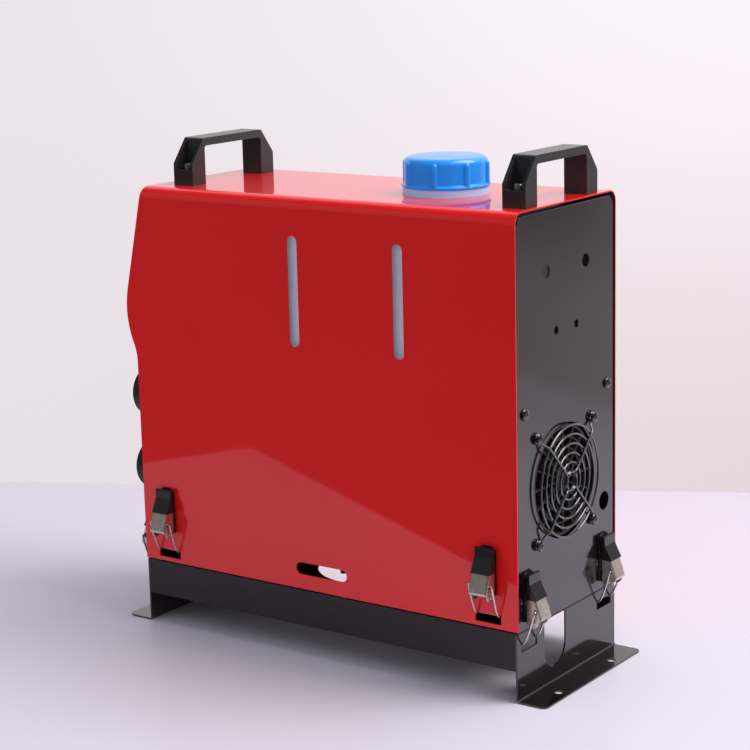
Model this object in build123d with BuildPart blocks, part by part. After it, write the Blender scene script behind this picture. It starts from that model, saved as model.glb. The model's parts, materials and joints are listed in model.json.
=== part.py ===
from build123d import *
from math import cos, radians, sin, tan
import os

# Diesel air heater in a sheet-steel carrying case, with its fuel tank inside.
# Millimetres. X runs along the case: +X is the fresh-air end, -X the warm-air end with
# the controls. Y is the depth, with the sight slots on the -Y side. Z is up.
# The origin is the middle of the footprint on the floor.

os.makedirs("parts", exist_ok=True)

# ---------------------------------------------------------------- case
case_length = 368.0
case_width = 150.0
case_top = 372.0
stance = 55.0                # floor to the lower edge of the case
sheet = 1.2                  # case sheet
top_bend = 9.0               # outside bend of the shell's long top edges
panel_inset = 1.0            # end panels stand inside the shell's edge by this
panel_flange = 8.0           # folded edge of an end panel
panel_top_gap = 2.3          # air between an end panel's fold and the shell
corner_cut = 8.0             # diagonal corners of the end panels
fold = 2.0                   # outside bend of a folded panel edge

# the outlet end's side view: upright, then out over a nose, then back along a lean
nose_up = 170.0              # case's lower edge to the start of the nose
nose_turn = 23.0             # degrees
nose_hollow_r = 40.0
nose_crown_r = 75.0
lean = 12.8                  # degrees, the control face off upright

# openings in the shell
sight_x = (-18.5, 80.5)
sight_drop = 74.0            # case top to the slots' middle
sight_length = 88.0
sight_width = 9.5
hand_slot_x = 1.0
hand_slot_up = 18.2          # case's lower edge to the slot's middle
hand_slot_length = 50.0
hand_slot_width = 9.8

# ---------------------------------------------------------------- base
base_sheet = 1.5
skirt = 30.0                 # height of the base's long skirts
foot = 24.5                  # foot flange, outward
foot_corner_r = 5.0
foot_hole_r = 3.5
foot_hole_in = 34.0          # hole centre to the leg's end
foot_hole_out = 16.0         # hole centre to the leg's face
leg_return = 12.0            # leg's upper fold, under the base plate
exhaust_slot_y = -19.0
exhaust_slot_width = 32.0
exhaust_slot_low = 13.0      # lowest point above the floor
well_past = 17.0             # long hole under the burner, its middle past the exhaust
well_y = 7.5
well_width = 98.0
well_reach = 40.0            # between the centres of its round ends

# ---------------------------------------------------------------- toggle latches
latch_from_end = 26.25       # latch centre to the case's end, on the long sides
latch_from_side = 17.4       # latch centre to the case's side, on the end panels
window_width = 23.0
window_height = 7.0
case_window_up = 4.5         # case's lower edge to a window's lower edge in the shell
leg_window_down = 16.4       # case's lower edge to a window's lower edge in the legs
plate_half = 8.0
plate_low = 20.0             # heights over the window's lower edge
plate_high = 62.0
plate_thick = 1.0
plate_corner_r = 6.5
plate_ear_r = 3.4
plate_ear_low = 4.0          # ear's root below and above the pivot
plate_ear_high = 6.0
pivot_out = 7.5              # lever pivot off the panel
pivot_up = 24.0
lever_half = 7.8
lever_sheet = 1.2
lever_ear_r = 4.5
lever_step = 27.3            # height of the lever's lower lip
lip_out = 15.2               # lever's lower lip off the panel
grip_foot_out = 10.6         # lever's face off the panel where the grip starts
grip_start = 41.0
grip_end = 59.0
grip_half = 8.2
grip_over = 1.0              # grip over the lever's face
grip_under = 0.4             # and behind its cheeks
grip_tip_out = 4.4
grip_tip_drop = 6.0
grip_tip_edge = 1.5
grip_edge_r = 1.2
tang_drop = 6.0              # lever's tang below the grip's end
bail_out = 11.0              # bail pivot off the panel
bail_up = 33.0
bail_half = 10.0
wire_r = 0.9
bail_hook_in = 4.2           # cross wire behind the panel's face
bail_hook_up = 5.8
bail_bends = ((8.6, 24.0), (4.8, 13.5), (2.6, 8.4), (1.2, 6.5), (-0.6, 5.8))   # out, up
pin_r = 1.5
pin_head_r = 2.6
pin_head = 0.8
rivet_r = 1.6
rivet_head_r = 2.6
rivet_head = 0.9
rivet_ups = (36.0, 53.0)
run_gap = 0.06               # running clearance of a pin in its hole
side_gap = 0.3               # between moving and fixed faces
keeper_half = 15.0
keeper_high = 12.0

# ---------------------------------------------------------------- handles
handle_from_end = (39.7, 13.9)     # case end to the handle's middle: outlet, intake
handle_width = 20.0
handle_span = 106.0
handle_height = 37.5
handle_leg = 16.5
handle_bar = 6.5
handle_shoulder = 17.5       # height where the outer face starts to lean in
handle_lean = 15.5
handle_wall = 2.6
handle_floor = 13.0
handle_bar_edge_r = 1.5
handle_screw_r = 2.5
handle_screw_past = 2.0      # screw's end below the case sheet
handle_head_r = 4.4
handle_head = 4.0
hex_socket_r = 2.3

# ---------------------------------------------------------------- fan guard
guard_y = -3.0
guard_up = 102.5             # case's lower edge to the fan's axis
guard_pitch = 82.5
guard_rings = 6
guard_ring_step = 7.25
guard_wire_r = 0.9
guard_rise = 4.6             # ring centres off the panel
guard_knee_r = 47.0          # where a spoke bends down to the panel
guard_knee_run = 4.5         # length of that bend
guard_opening_r = 45.0
guard_eye_r = 3.6            # eyelet's wire centre
screw_head_r = 4.6
screw_head = 2.6
screw_dome = (0.72, 0.35, 0.85)     # crown's width, its start and its shoulder, of the head
screw_r = 2.0
screw_length = 7.0

# plain round holes in the intake end panel
wide_hole_y = 29.4
wide_hole_drop = 49.0        # case top to the hole
wide_hole_r = 5.2
small_hole_y = 15.0
small_hole_drop = 95.7
small_hole_r = 3.2
cable_hole_in = 17.4         # hole to the case's side
cable_hole_up = 71.4         # case's lower edge to the hole
cable_hole_r = 7.4

# ---------------------------------------------------------------- shelf, tank, cap
shelf_gap = 10.5             # top of the heater unit to the shelf's top
shelf_screw_down = 7.0       # shelf's top to its screws
shelf_screw_in = 13.0        # screws to the case's side
shelf_side_gap = 3.0         # shelf to the case's side
shelf_tab = 12.0
tank_from_end = (54.0, 36.0)       # case end to the tank: outlet, intake
tank_side_gap = 5.0          # tank to the case's side
tank_top_gap = 6.0           # tank's top to the case top
tank_wall = 3.0
tank_corner = 12.0
neck_x = 76.6
neck_y = 0.0
collar_r = 33.6              # shoulder under the cap
collar_up = 5.6              # shoulder above the shell
neck_r = 28.5
neck_height = 18.0           # neck above the shoulder
neck_wall = 3.0
cap_r = 32.6
cap_rim_r = 34.7
cap_rim = 1.8
cap_height = 23.6
cap_shoulder = 5.0           # rounding between the side and the top
cap_step = 1.0               # slope from the rim to the side
cap_crown = 0.8              # top's rise to its middle
cap_top_wall = 3.6
cap_ribs = 8
cap_rib_turn = 17.5          # first rib off the case's long axis
cap_rib_r = 2.6
cap_rib_out = 2.2            # rib proud of the side
cap_rib_low = 3.6            # cap's top to the ribs' tops
cap_rib_tip = 0.6            # flat left on a rib's rounded top
seal_thick = 1.8
seal_inside = 3.0            # seal's reach inside the neck
cap_gap = 0.4

# ---------------------------------------------------------------- heater unit
casing_width = 124.0
casing_height = 120.0
casing_corner = 34.0
casing_wall = 2.5
casing_from_end = 26.0       # case end to the casing
casing_length = 274.0
mouth_r = 41.0               # fresh-air mouth and warm-air mouth
mouth_wall = 2.5
warm_mouth_out = 12.0        # warm-air mouth past the casing
stub_down = 9.0              # exhaust and air stubs below the case's lower edge
exhaust_in = 158.0           # fresh-air end of the casing to the exhaust
exhaust_r = 12.0
exhaust_bore = 10.5
air_in = 88.0                # fresh-air end of the casing to the air stub
air_r = 12.5
air_bore = 11.0
stub_root_under = 5.5        # stubs' thicker roots below the casing
stub_root_extra = 1.5
bracket_sheet = 2.0
bracket_in = (21.0, 33.0)    # casing's ends to the bracket: warm, fresh
bracket_side_in = 10.0       # casing's side to the bracket's
bracket_foot = 14.0
exchanger_in = 12.0          # casing's warm end to the exchanger
exchanger_length = 154.0
exchanger_r = 40.0
exchanger_wall = 4.0
fin_count = 16
fin_r = 50.0
fin_thick = 2.2
fin_start = 6.0              # exchanger's end to its fins
fin_root = 2.0               # fins' roots inside the wall
burner_length = 110.0
burner_r = 30.0
burner_wall = 1.6
burner_flange = 5.0
volute_length = 30.0
volute_r = 46.0
volute_wall = 3.0
motor_length = 39.0
motor_r = 26.0
shaft_r = 3.0
shaft_gap = 1.0              # shaft's end to the burner's flange
fan_past = 6.0               # motor to the fan
fan_length = 20.0
fan_r = 36.0
fan_hub_r = 14.0
fan_blades = 11
fan_pitch = 38.0
blade_thick = 1.6
blade_root = 2.0             # blades' roots inside the hub
fan_nose_r = 4.0
impeller_r = 38.0
impeller_vanes = 10
impeller_hub_r = 9.0
impeller_disc = 2.0
impeller_vane_depth = 14.0
impeller_vane_thick = 1.6
impeller_gap = 2.0           # housing wall to the disc
control_unit_in = 40.0       # casing's fresh-air end to the unit's middle
control_unit_length = 60.0
control_unit_width = 60.0
control_unit_thick = 14.0
control_unit_edge_r = 2.0
fuel_inlet_under = 10.5      # open end of the burner's fuel pipe below the casing
stud_half_y = 46.0           # mounting studs either side of the unit's middle
stud_in = (154.0, 62.0)      # casing's fresh-air end to the studs
stud_r = 2.6
stud_length = 31.5
nut_r = 5.8                  # across corners
nut_high = 5.0
plug_in = 14.0               # glow plug to the burner's flange
plug_r = 3.0
plug_top = 52.0              # above the unit's middle
plug_head_r = 5.5
plug_head = 5.0
plug_head_gap = 0.5
grille_thick = 3.5
grille_r = 43.5
grille_hub_r = 9.0
grille_bars = (16.5, 25.0, 33.5)    # ring radii
grille_bar = 1.5
grille_rim = 2.4
grille_spokes = 16

# ---------------------------------------------------------------- warm-air outlets
outlet_pitch_y = 84.0
outlet_pitch_z = 64.0
outlet_up = 106.0            # case's lower edge to the middle of the four outlets
outlet_r = 20.8
outlet_proud = 20.0
outlet_wall = 2.0
outlet_flange_r = 27.0
outlet_flange = 2.0
outlet_edge_r = 1.0
outlet_step = 2.0            # ledge under the louvre
louvre_in = 1.0              # louvre below the collar's edge
louvre_wall = 1.6
slat_thick = 1.4
slat_in = 2.0                # slats' edges inside the louvre's depth
louvre_depth = 10.0
louvre_slats = 4
louvre_tilt = 30.0
manifold_wall = 2.0
manifold_side_gap = 8.0      # hood to the case's side
manifold_up = 49.0           # case's lower edge to the hood
manifold_height = 111.5
hood_corner_r = 14.0
throat_corner_r = 30.0
throat_gap = 4.0             # casing's mouth to the manifold's throat
throat_in = 8.0              # casing's mouth inside the throat

# ---------------------------------------------------------------- control panel
bezel_drop = 41.0            # case top to the bezel's middle
bezel_length = 96.0
bezel_height = 56.0
bezel_thick = 4.0
bezel_corner = 5.0
bezel_edge_r = 1.2
lens_length = 60.0
lens_height = 38.0
lens_thick = 1.5
lens_shift = -13.0
button_r = 4.5
button_x = 33.0
button_pitch = 14.0
button_proud = 1.6
button_travel = 1.0
button_count = 3
button_edge_r = 0.7

# ---------------------------------------------------------------- fuel pump and lines
pump_from_end = 19.0         # case end to the pump's middle
pump_y = 14.0
pump_up = 34.0               # shelf to the pump
pump_length = 62.0
pump_r = 12.0
clamp_wall = 3.0
clamp_width = 18.0
clamp_foot = 16.0
spigot_r = 2.0
spigot = 9.0
line_r = 3.0
line_gap = 5.0               # feed line's middle to the bracket's side
line_hole_gap = 2.0
line_bend = 9.0
suction_bend = 8.0
push_on = 7.0                # hose over a pipe end

half_l = case_length / 2
half_w = case_width / 2
inner_half = half_w - sheet
sight_z = case_top - sight_drop
hand_slot_z = stance + hand_slot_up
nose_start = stance + nose_up
latch_end_y = half_w - latch_from_side
case_window_z = stance + case_window_up
leg_window_z = stance - leg_window_down
handle_x = (handle_from_end[0] - half_l, half_l - handle_from_end[1])
heater_z = stance + guard_up
guard_z = heater_z
shelf_top = heater_z + casing_height / 2 + shelf_gap
shelf_screw_z = shelf_top - shelf_screw_down
shelf_screw_y = half_w - shelf_screw_in
shelf_half = half_w - shelf_side_gap
tank_left = tank_from_end[0] - half_l
tank_right = half_l - tank_from_end[1]
tank_half = half_w - tank_side_gap
tank_top = case_top - tank_top_gap
heater_y = guard_y
casing_right = half_l - casing_from_end
casing_left = casing_right - casing_length
warm_mouth = casing_left - warm_mouth_out
exhaust_x = casing_right - exhaust_in
air_x = casing_right - air_in
well_x = exhaust_x + well_past
stub_low = stance - stub_down
bracket_left = casing_left + bracket_in[0]
bracket_right = casing_right - bracket_in[1]
bracket_half = casing_width / 2 - bracket_side_in
exchanger_left = casing_left + exchanger_in
exchanger_right = exchanger_left + exchanger_length
burner_left = exchanger_right - burner_length
volute_left = exchanger_right + burner_flange
volute_right = volute_left + volute_length
motor_right = volute_right + motor_length
fan_left = motor_right + fan_past
fan_right = fan_left + fan_length
control_unit_x = casing_right - control_unit_in
plug_x = exchanger_right - plug_in
outlet_z = stance + outlet_up
manifold_half = half_w - manifold_side_gap
manifold_low = stance + manifold_up
manifold_high = manifold_low + manifold_height
bezel_z = case_top - bezel_drop
pump_x = half_l - pump_from_end
pump_low = shelf_top + pump_up
line_y = heater_y - bracket_half - line_gap
panel_x = half_l - panel_inset
panel_top = case_top - sheet - panel_top_gap
front = Plane.XZ.offset(half_w)
back = Plane.XZ.offset(-half_w)
fresh_end = Plane.YZ.offset(panel_x)


def save(piece, name):
    """Write one finished piece under its name."""
    piece.label = name
    export_step(piece, f"parts/{name}.step")


def nose_region(inset, top, right, low):
    """Side-view face behind the outlet end's line, moved in by inset."""
    with BuildSketch(Plane.XZ) as region:
        with BuildLine():
            rise = Line((inset - half_l, low), (inset - half_l, nose_start))
            hollow = JernArc(rise @ 1, (0, 1), nose_hollow_r + inset, nose_turn)
            crown = JernArc(hollow @ 1, hollow % 1, nose_crown_r - inset, -nose_turn - lean)
            run = (top - (crown @ 1).Y) / cos(radians(lean))
            slope = PolarLine(crown @ 1, run, 90 - lean)
            Polyline(slope @ 1, (right, top), (right, low), rise @ 0)
        make_face()
    return region.sketch


def nose_point(inset, height):
    """X of the leaning control face at a height, moved in by inset."""
    turn = radians(nose_turn)
    tilt = radians(lean)
    hollow = nose_hollow_r + inset
    crown = nose_crown_r - inset
    end_x = inset - half_l - hollow * (1 - cos(turn)) + crown * (cos(turn) - cos(tilt))
    end_z = nose_start + hollow * sin(turn) + crown * (sin(turn) + sin(tilt))
    return end_x + (height - end_z) * tan(tilt)


# Each latch has its own frame: X across, Y up from its window's lower edge, Z outward.
latch_frames = {}
for end, side_x in (("outlet", latch_from_end - half_l), ("intake", half_l - latch_from_end)):
    latch_frames[f"front_{end}"] = Plane((side_x, -half_w, case_window_z), (1, 0, 0), (0, -1, 0))
    latch_frames[f"back_{end}"] = Plane((side_x, half_w, case_window_z), (-1, 0, 0), (0, 1, 0))
for side, side_y in (("front", -latch_end_y), ("back", latch_end_y)):
    latch_frames[f"intake_{side}"] = Plane((panel_x, side_y, leg_window_z), (0, 1, 0), (1, 0, 0))
    latch_frames[f"outlet_{side}"] = Plane((-panel_x, side_y, leg_window_z), (0, -1, 0), (-1, 0, 0))
long_side_latches = [plane for name, plane in latch_frames.items() if name[:5] in ("front", "back_")]
intake_latches = [latch_frames["intake_front"], latch_frames["intake_back"]]
outlet_latches = [latch_frames["outlet_front"], latch_frames["outlet_back"]]


def rivet_holes(planes):
    """Cut the mounting rivets' holes of these latches."""
    with Locations(*[plane.location for plane in planes]):
        with Locations(*[(0, up, 0) for up in rivet_ups]):
            Cylinder(rivet_r, 4 * sheet, mode=Mode.SUBTRACT)


# ================================================================ case
with BuildPart() as shell:
    extrude(nose_region(0, case_top, half_l, stance), half_w, both=True)
    fillet(shell.edges().filter_by(Axis.X).group_by(Axis.Z)[-1], top_bend)
    with BuildSketch(Plane.YZ.offset(-case_length)):
        with Locations((0, case_top - sheet)):
            Rectangle(2 * inner_half, case_top, align=(Align.CENTER, Align.MAX))
        fillet(vertices().group_by(Axis.Y)[-1], top_bend - sheet)
    extrude(amount=2 * case_length, mode=Mode.SUBTRACT)
    with BuildSketch(front):
        with Locations(*[(x, sight_z) for x in sight_x]):
            SlotOverall(sight_length, sight_width, rotation=90)
        with Locations((hand_slot_x, hand_slot_z)):
            SlotOverall(hand_slot_length, hand_slot_width)
    extrude(amount=2 * sheet, both=True, mode=Mode.SUBTRACT)
    with Locations(*[plane.location for plane in long_side_latches]):
        with Locations((0, window_height / 2, 0)):
            Box(window_width, window_height, 4 * sheet, mode=Mode.SUBTRACT)
    rivet_holes(long_side_latches)
    with Locations((neck_x, neck_y, case_top)):
        Cylinder(collar_r + cap_gap, 4 * sheet, mode=Mode.SUBTRACT)
    screw_y = handle_span / 2 - handle_leg / 2
    with Locations(*[(x, y, case_top) for x in handle_x for y in (-screw_y, screw_y)]):
        Cylinder(handle_screw_r, 4 * sheet, mode=Mode.SUBTRACT)
save(shell.part, "shell")


# diagonal upper corners of both end panels
with BuildSketch(Plane.YZ) as corners:
    for side in (-1, 1):
        with BuildLine():
            Polyline((side * (inner_half - corner_cut), panel_top), (side * half_w, panel_top + sheet),
                     (side * half_w, panel_top - corner_cut - sheet),
                     (side * inner_half, panel_top - corner_cut), close=True)
        make_face()

with BuildPart() as intake_end_panel:
    with BuildSketch(fresh_end):
        with Locations((0, stance)):
            Rectangle(2 * inner_half, panel_top - stance, align=(Align.CENTER, Align.MIN))
    extrude(amount=-panel_flange)
    face_edges = faces().sort_by(Axis.X)[-1].edges()
    fillet(face_edges - face_edges.group_by(Axis.Z)[0], fold)
    with BuildSketch(fresh_end.offset(-sheet)):
        with Locations((0, panel_top - sheet)):
            Rectangle(2 * (inner_half - sheet), panel_top, align=(Align.CENTER, Align.MAX))
    extrude(amount=-panel_flange, mode=Mode.SUBTRACT)
    extrude(corners.sketch, amount=case_length, both=True, mode=Mode.SUBTRACT)
    with BuildSketch(fresh_end):
        with Locations((guard_y, guard_z)):
            Circle(guard_opening_r)
            with GridLocations(guard_pitch, guard_pitch, 2, 2):
                Circle(screw_r)
        with Locations((-shelf_screw_y, shelf_screw_z), (shelf_screw_y, shelf_screw_z)):
            Circle(screw_r)
        with Locations(*[(side * wide_hole_y, case_top - wide_hole_drop) for side in (-1, 1)]):
            Circle(wide_hole_r)
        with Locations(*[(side * small_hole_y, case_top - small_hole_drop) for side in (-1, 1)]):
            Circle(small_hole_r)
        with Locations((half_w - cable_hole_in, stance + cable_hole_up)):
            Circle(cable_hole_r)
    extrude(amount=-2 * sheet, mode=Mode.SUBTRACT)
    rivet_holes(intake_latches)
save(intake_end_panel.part, "intake_end_panel")

outlet_spots = GridLocations(outlet_pitch_y, outlet_pitch_z, 2, 2)
warm_end = Plane((-panel_x, 0, outlet_z), (0, -1, 0), (-1, 0, 0))

with BuildPart() as outlet_end_panel:
    extrude(nose_region(panel_inset, panel_top, 0, stance), inner_half, both=True)
    extrude(nose_region(panel_inset + sheet, panel_top - sheet, half_l, 0),
            inner_half - sheet, both=True, mode=Mode.SUBTRACT)
    extrude(nose_region(panel_inset + panel_flange, case_top, half_l, 0),
            case_width, both=True, mode=Mode.SUBTRACT)
    extrude(corners.sketch, amount=case_length, both=True, mode=Mode.SUBTRACT)
    with BuildSketch(warm_end):
        with GridLocations(outlet_pitch_y, outlet_pitch_z, 2, 2):
            Circle(outlet_r)
    extrude(amount=2 * sheet, both=True, mode=Mode.SUBTRACT)
    with Locations(*[(-panel_x, y, shelf_screw_z) for y in (-shelf_screw_y, shelf_screw_y)]):
        Cylinder(screw_r, 4 * sheet, rotation=(0, 90, 0), mode=Mode.SUBTRACT)
    rivet_holes(outlet_latches)
save(outlet_end_panel.part, "outlet_end_panel")

# ================================================================ base
keeper_frames = [plane.location for plane in long_side_latches]
keeper_back = sheet + side_gap

with BuildPart() as base_tray:
    with Locations((0, 0, stance)):
        Box(2 * panel_x, case_width, base_sheet, align=(Align.CENTER, Align.CENTER, Align.MAX))
    for side in (-1, 1):
        with Locations((0, side * (half_w - base_sheet / 2), stance)):
            Box(2 * (panel_x - base_sheet), base_sheet, skirt,
                align=(Align.CENTER, Align.CENTER, Align.MAX))
    with BuildSketch(Plane.XY.offset(stance)):
        with Locations((well_x, well_y)):
            SlotCenterToCenter(well_reach, well_width)
    extrude(amount=-2 * base_sheet, mode=Mode.SUBTRACT)
    keeper_low = stance - case_window_z
    with Locations(*keeper_frames):
        with Locations((0, keeper_low, -keeper_back)):
            Box(2 * keeper_half, keeper_high - keeper_low, base_sheet,
                align=(Align.CENTER, Align.MIN, Align.MAX))
        with Locations((0, 0, -keeper_back)):
            Box(window_width, window_height, 4 * base_sheet, mode=Mode.SUBTRACT,
                align=(Align.CENTER, Align.MIN, Align.CENTER))
save(base_tray.part, "base_tray")


def make_leg(end):
    """Leg plate with its foot flange outward and its upper fold inward; end is 1 or -1."""
    top = stance - base_sheet
    tip = panel_x + foot
    with BuildPart() as leg:
        with BuildSketch(Plane.XZ):
            with BuildLine():
                Polyline((end * (panel_x - base_sheet), 0), (end * tip, 0),
                         (end * tip, base_sheet), (end * panel_x, base_sheet),
                         (end * panel_x, top), (end * (panel_x - base_sheet), top), close=True)
            make_face()
        extrude(amount=half_w, both=True)
        with Locations((end * (panel_x - leg_return / 2), 0, top)):
            Box(leg_return, case_width - 2 * base_sheet, base_sheet,
                align=(Align.CENTER, Align.CENTER, Align.MAX))
        tip_edges = leg.edges().filter_by(Axis.Z).sort_by(Axis.X)
        fillet(tip_edges[-2:] if end > 0 else tip_edges[:2], foot_corner_r)
        with Locations(*[(end * (panel_x + foot_hole_out), side * (half_w - foot_hole_in), 0)
                         for side in (-1, 1)]):
            Cylinder(foot_hole_r, 4 * base_sheet, mode=Mode.SUBTRACT)
        with Locations(*[(end * panel_x, y, leg_window_z + window_height / 2)
                         for y in (-latch_end_y, latch_end_y)]):
            Box(4 * base_sheet, window_width, window_height, mode=Mode.SUBTRACT)
    return leg.part


with BuildPart() as intake_leg:
    add(make_leg(1))
    slot_r = exhaust_slot_width / 2
    with BuildSketch(fresh_end.offset(base_sheet)):
        with Locations((exhaust_slot_y, exhaust_slot_low + slot_r)):
            Circle(slot_r)
            Rectangle(exhaust_slot_width, stance, align=(Align.CENTER, Align.MIN))
    extrude(amount=-leg_return - 2 * base_sheet, mode=Mode.SUBTRACT)
save(intake_leg.part, "intake_leg")
save(make_leg(-1), "outlet_leg")

# ================================================================ handles
with BuildPart() as handle:
    half_span = handle_span / 2
    with BuildSketch(Plane.YZ):
        with BuildLine():
            Polyline((-half_span, 0), (-half_span, handle_shoulder),
                     (handle_lean - half_span, handle_height),
                     (half_span - handle_lean, handle_height),
                     (half_span, handle_shoulder), (half_span, 0), close=True)
        make_face()
        with BuildLine():
            Polyline((handle_leg - half_span, 0), (handle_leg - half_span, handle_height - handle_bar),
                     (half_span - handle_leg, handle_height - handle_bar),
                     (half_span - handle_leg, 0), close=True)
        make_face(mode=Mode.SUBTRACT)
    extrude(amount=handle_width / 2, both=True)
    bar_edges = handle.edges().filter_by(Axis.Y).group_by(Axis.Z)[-1]
    fillet(bar_edges, handle_bar_edge_r)
    pocket = handle_width - 2 * handle_wall
    for side in (-1, 1):
        with BuildSketch(Plane.YZ):
            with BuildLine():
                Polyline((side * (half_span + 1), handle_floor),
                         (side * (half_span - handle_leg + handle_wall), handle_floor),
                         (side * (half_span - handle_leg + handle_wall), handle_height - handle_wall),
                         (side * (half_span + 1), handle_height - handle_wall), close=True)
            make_face()
        extrude(amount=pocket / 2, both=True, mode=Mode.SUBTRACT)
        with Locations((0, side * screw_y, 0)):
            Cylinder(handle_screw_r, 2 * handle_floor, mode=Mode.SUBTRACT)
for name, x in zip(("handle_outlet_end", "handle_intake_end"), handle_x):
    save(handle.part.moved(Location((x, 0, case_top))), name)

with BuildPart() as handle_screws:
    with Locations(*[(x, y, case_top + handle_floor) for x in handle_x for y in (-screw_y, screw_y)]):
        Cylinder(handle_head_r, handle_head, align=(Align.CENTER, Align.CENTER, Align.MIN))
        with Locations((0, 0, handle_head)):
            Cylinder(hex_socket_r, handle_head, mode=Mode.SUBTRACT)
        Cylinder(handle_screw_r, handle_floor + sheet + handle_screw_past,
                 align=(Align.CENTER, Align.CENTER, Align.MAX))
save(handle_screws.part, "handle_screws")

# ================================================================ shelf and tank
with BuildPart() as tank_shelf:
    shelf_end = panel_x - sheet
    with Locations((0, 0, shelf_top)):
        Box(2 * shelf_end, 2 * shelf_half, sheet, align=(Align.CENTER, Align.CENTER, Align.MAX))
        for end in (-1, 1):
            with Locations((end * (shelf_end - sheet / 2), 0, 0)):
                Box(sheet, 2 * shelf_half, shelf_tab, align=(Align.CENTER, Align.CENTER, Align.MAX))
    for end in (-1, 1):
        with Locations(*[(end * shelf_end, y, shelf_screw_z) for y in (-shelf_screw_y, shelf_screw_y)]):
            Cylinder(screw_r, 4 * sheet, rotation=(0, 90, 0), mode=Mode.SUBTRACT)
    with Locations((pump_x, line_y, shelf_top)):
        Cylinder(line_r + line_hole_gap, 4 * sheet, mode=Mode.SUBTRACT)
save(tank_shelf.part, "tank_shelf")

shoulder_z = case_top + collar_up
neck_top = shoulder_z + neck_height
tank_mid = (tank_left + tank_right) / 2
tank_out_z = shelf_top + tank_corner

with BuildPart() as fuel_tank:
    with Locations((tank_mid, 0, shelf_top)):
        Box(tank_right - tank_left, 2 * tank_half, tank_top - shelf_top,
            align=(Align.CENTER, Align.CENTER, Align.MIN))
    fillet(fuel_tank.edges(), tank_corner)
    with Locations((neck_x, neck_y, tank_top - tank_wall)):
        Cylinder(collar_r, shoulder_z - tank_top + tank_wall,
                 align=(Align.CENTER, Align.CENTER, Align.MIN))
        Cylinder(neck_r, neck_top - tank_top + tank_wall,
                 align=(Align.CENTER, Align.CENTER, Align.MIN))
    with Locations((tank_right - tank_wall, pump_y, tank_out_z)):
        Cylinder(spigot_r, spigot, rotation=(0, 90, 0), align=(Align.CENTER, Align.CENTER, Align.MIN))
    with BuildPart(mode=Mode.PRIVATE) as fuel_space:
        with Locations((tank_mid, 0, shelf_top + tank_wall)):
            Box(tank_right - tank_left - 2 * tank_wall, 2 * (tank_half - tank_wall),
                tank_top - shelf_top - 2 * tank_wall, align=(Align.CENTER, Align.CENTER, Align.MIN))
        fillet(fuel_space.edges(), tank_corner - tank_wall)
        with Locations((neck_x, neck_y, tank_top - 3 * tank_wall)):
            Cylinder(neck_r - neck_wall, case_top, align=(Align.CENTER, Align.CENTER, Align.MIN))
    add(fuel_space.part, mode=Mode.SUBTRACT)
save(fuel_tank.part, "fuel_tank")

# ================================================================ cap
cap_low = shoulder_z + cap_gap
cap_top = cap_low + cap_height
with BuildPart() as cap_rib:
    with Locations((0, 0, cap_rim / 2)):
        Cylinder(cap_rib_r, cap_height - cap_rib_low - cap_rim / 2,
                 align=(Align.CENTER, Align.CENTER, Align.MIN))
    fillet(cap_rib.edges().group_by(Axis.Z)[-1], cap_rib_r - cap_rib_tip)

with BuildPart() as fuel_cap:
    with BuildSketch(Plane.XZ):
        with BuildLine():
            Polyline((0, 0), (cap_rim_r, 0), (cap_rim_r, cap_rim), (cap_r, cap_rim + cap_step),
                     (cap_r, cap_height - cap_crown), (0, cap_height), close=True)
        make_face()
        fillet(vertices().sort_by_distance((cap_r, cap_height))[0], cap_shoulder)
    revolve(axis=Axis.Z)
    with PolarLocations(cap_r + cap_rib_out - cap_rib_r, cap_ribs, start_angle=cap_rib_turn):
        add(cap_rib.part)
    Cylinder(neck_r + cap_gap, cap_height - cap_top_wall, mode=Mode.SUBTRACT,
             align=(Align.CENTER, Align.CENTER, Align.MIN))
save(fuel_cap.part.moved(Location((neck_x, neck_y, cap_low))), "fuel_cap")

with BuildPart() as cap_seal:
    with Locations((neck_x, neck_y, neck_top + side_gap)):
        Cylinder(neck_r, seal_thick, align=(Align.CENTER, Align.CENTER, Align.MIN))
        Cylinder(neck_r - neck_wall - seal_inside, 3 * seal_thick, mode=Mode.SUBTRACT)
save(cap_seal.part, "cap_seal")

# ================================================================ fan guard and screws
wire_facet_count = 6


def guard_spoke():
    """One spoke along X from the inner ring to its eyelet, in the guard's own frame."""
    eye_at = guard_pitch / 2 * 2 ** 0.5
    rise = guard_rise + 1.5 * guard_wire_r
    with BuildPart() as spoke:
        with BuildLine():
            path = Polyline((guard_ring_step, 0, rise), (guard_knee_r, 0, rise),
                            (guard_knee_r + guard_knee_run, 0, guard_wire_r),
                            (eye_at - guard_eye_r, 0, guard_wire_r))
        with BuildSketch(Plane(path @ 0, z_dir=path % 0)):
            RegularPolygon(guard_wire_r, wire_facet_count)
        sweep(transition=Transition.RIGHT)
        with BuildSketch(Plane.XZ):
            with Locations((eye_at + guard_eye_r, guard_wire_r)):
                RegularPolygon(guard_wire_r, wire_facet_count)
        revolve(axis=Axis((eye_at, 0, 0), (0, 0, 1)))
    return spoke.part


with BuildPart() as fan_guard:
    with BuildSketch(Plane.XZ):
        with Locations(*[(guard_ring_step * (ring + 1), guard_rise) for ring in range(guard_rings)]):
            RegularPolygon(guard_wire_r, wire_facet_count)
    revolve(axis=Axis.Z)
    with PolarLocations(0, 4, start_angle=45):
        add(guard_spoke())
guard_frame = Plane((panel_x, guard_y, guard_z), (0, 1, 0), (1, 0, 0))
save(fan_guard.part.moved(guard_frame.location), "fan_guard")

with BuildPart() as panel_screw:
    with BuildSketch(Plane.XZ):
        with BuildLine():
            Polyline((0, -screw_length), (screw_r, -screw_length), (screw_r, 0), (screw_head_r, 0),
                     (screw_head_r, screw_head * screw_dome[1]),
                     (screw_head_r * screw_dome[0], screw_head * screw_dome[2]),
                     (0, screw_head), close=True)
        make_face()
    revolve(axis=Axis.Z)

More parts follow.
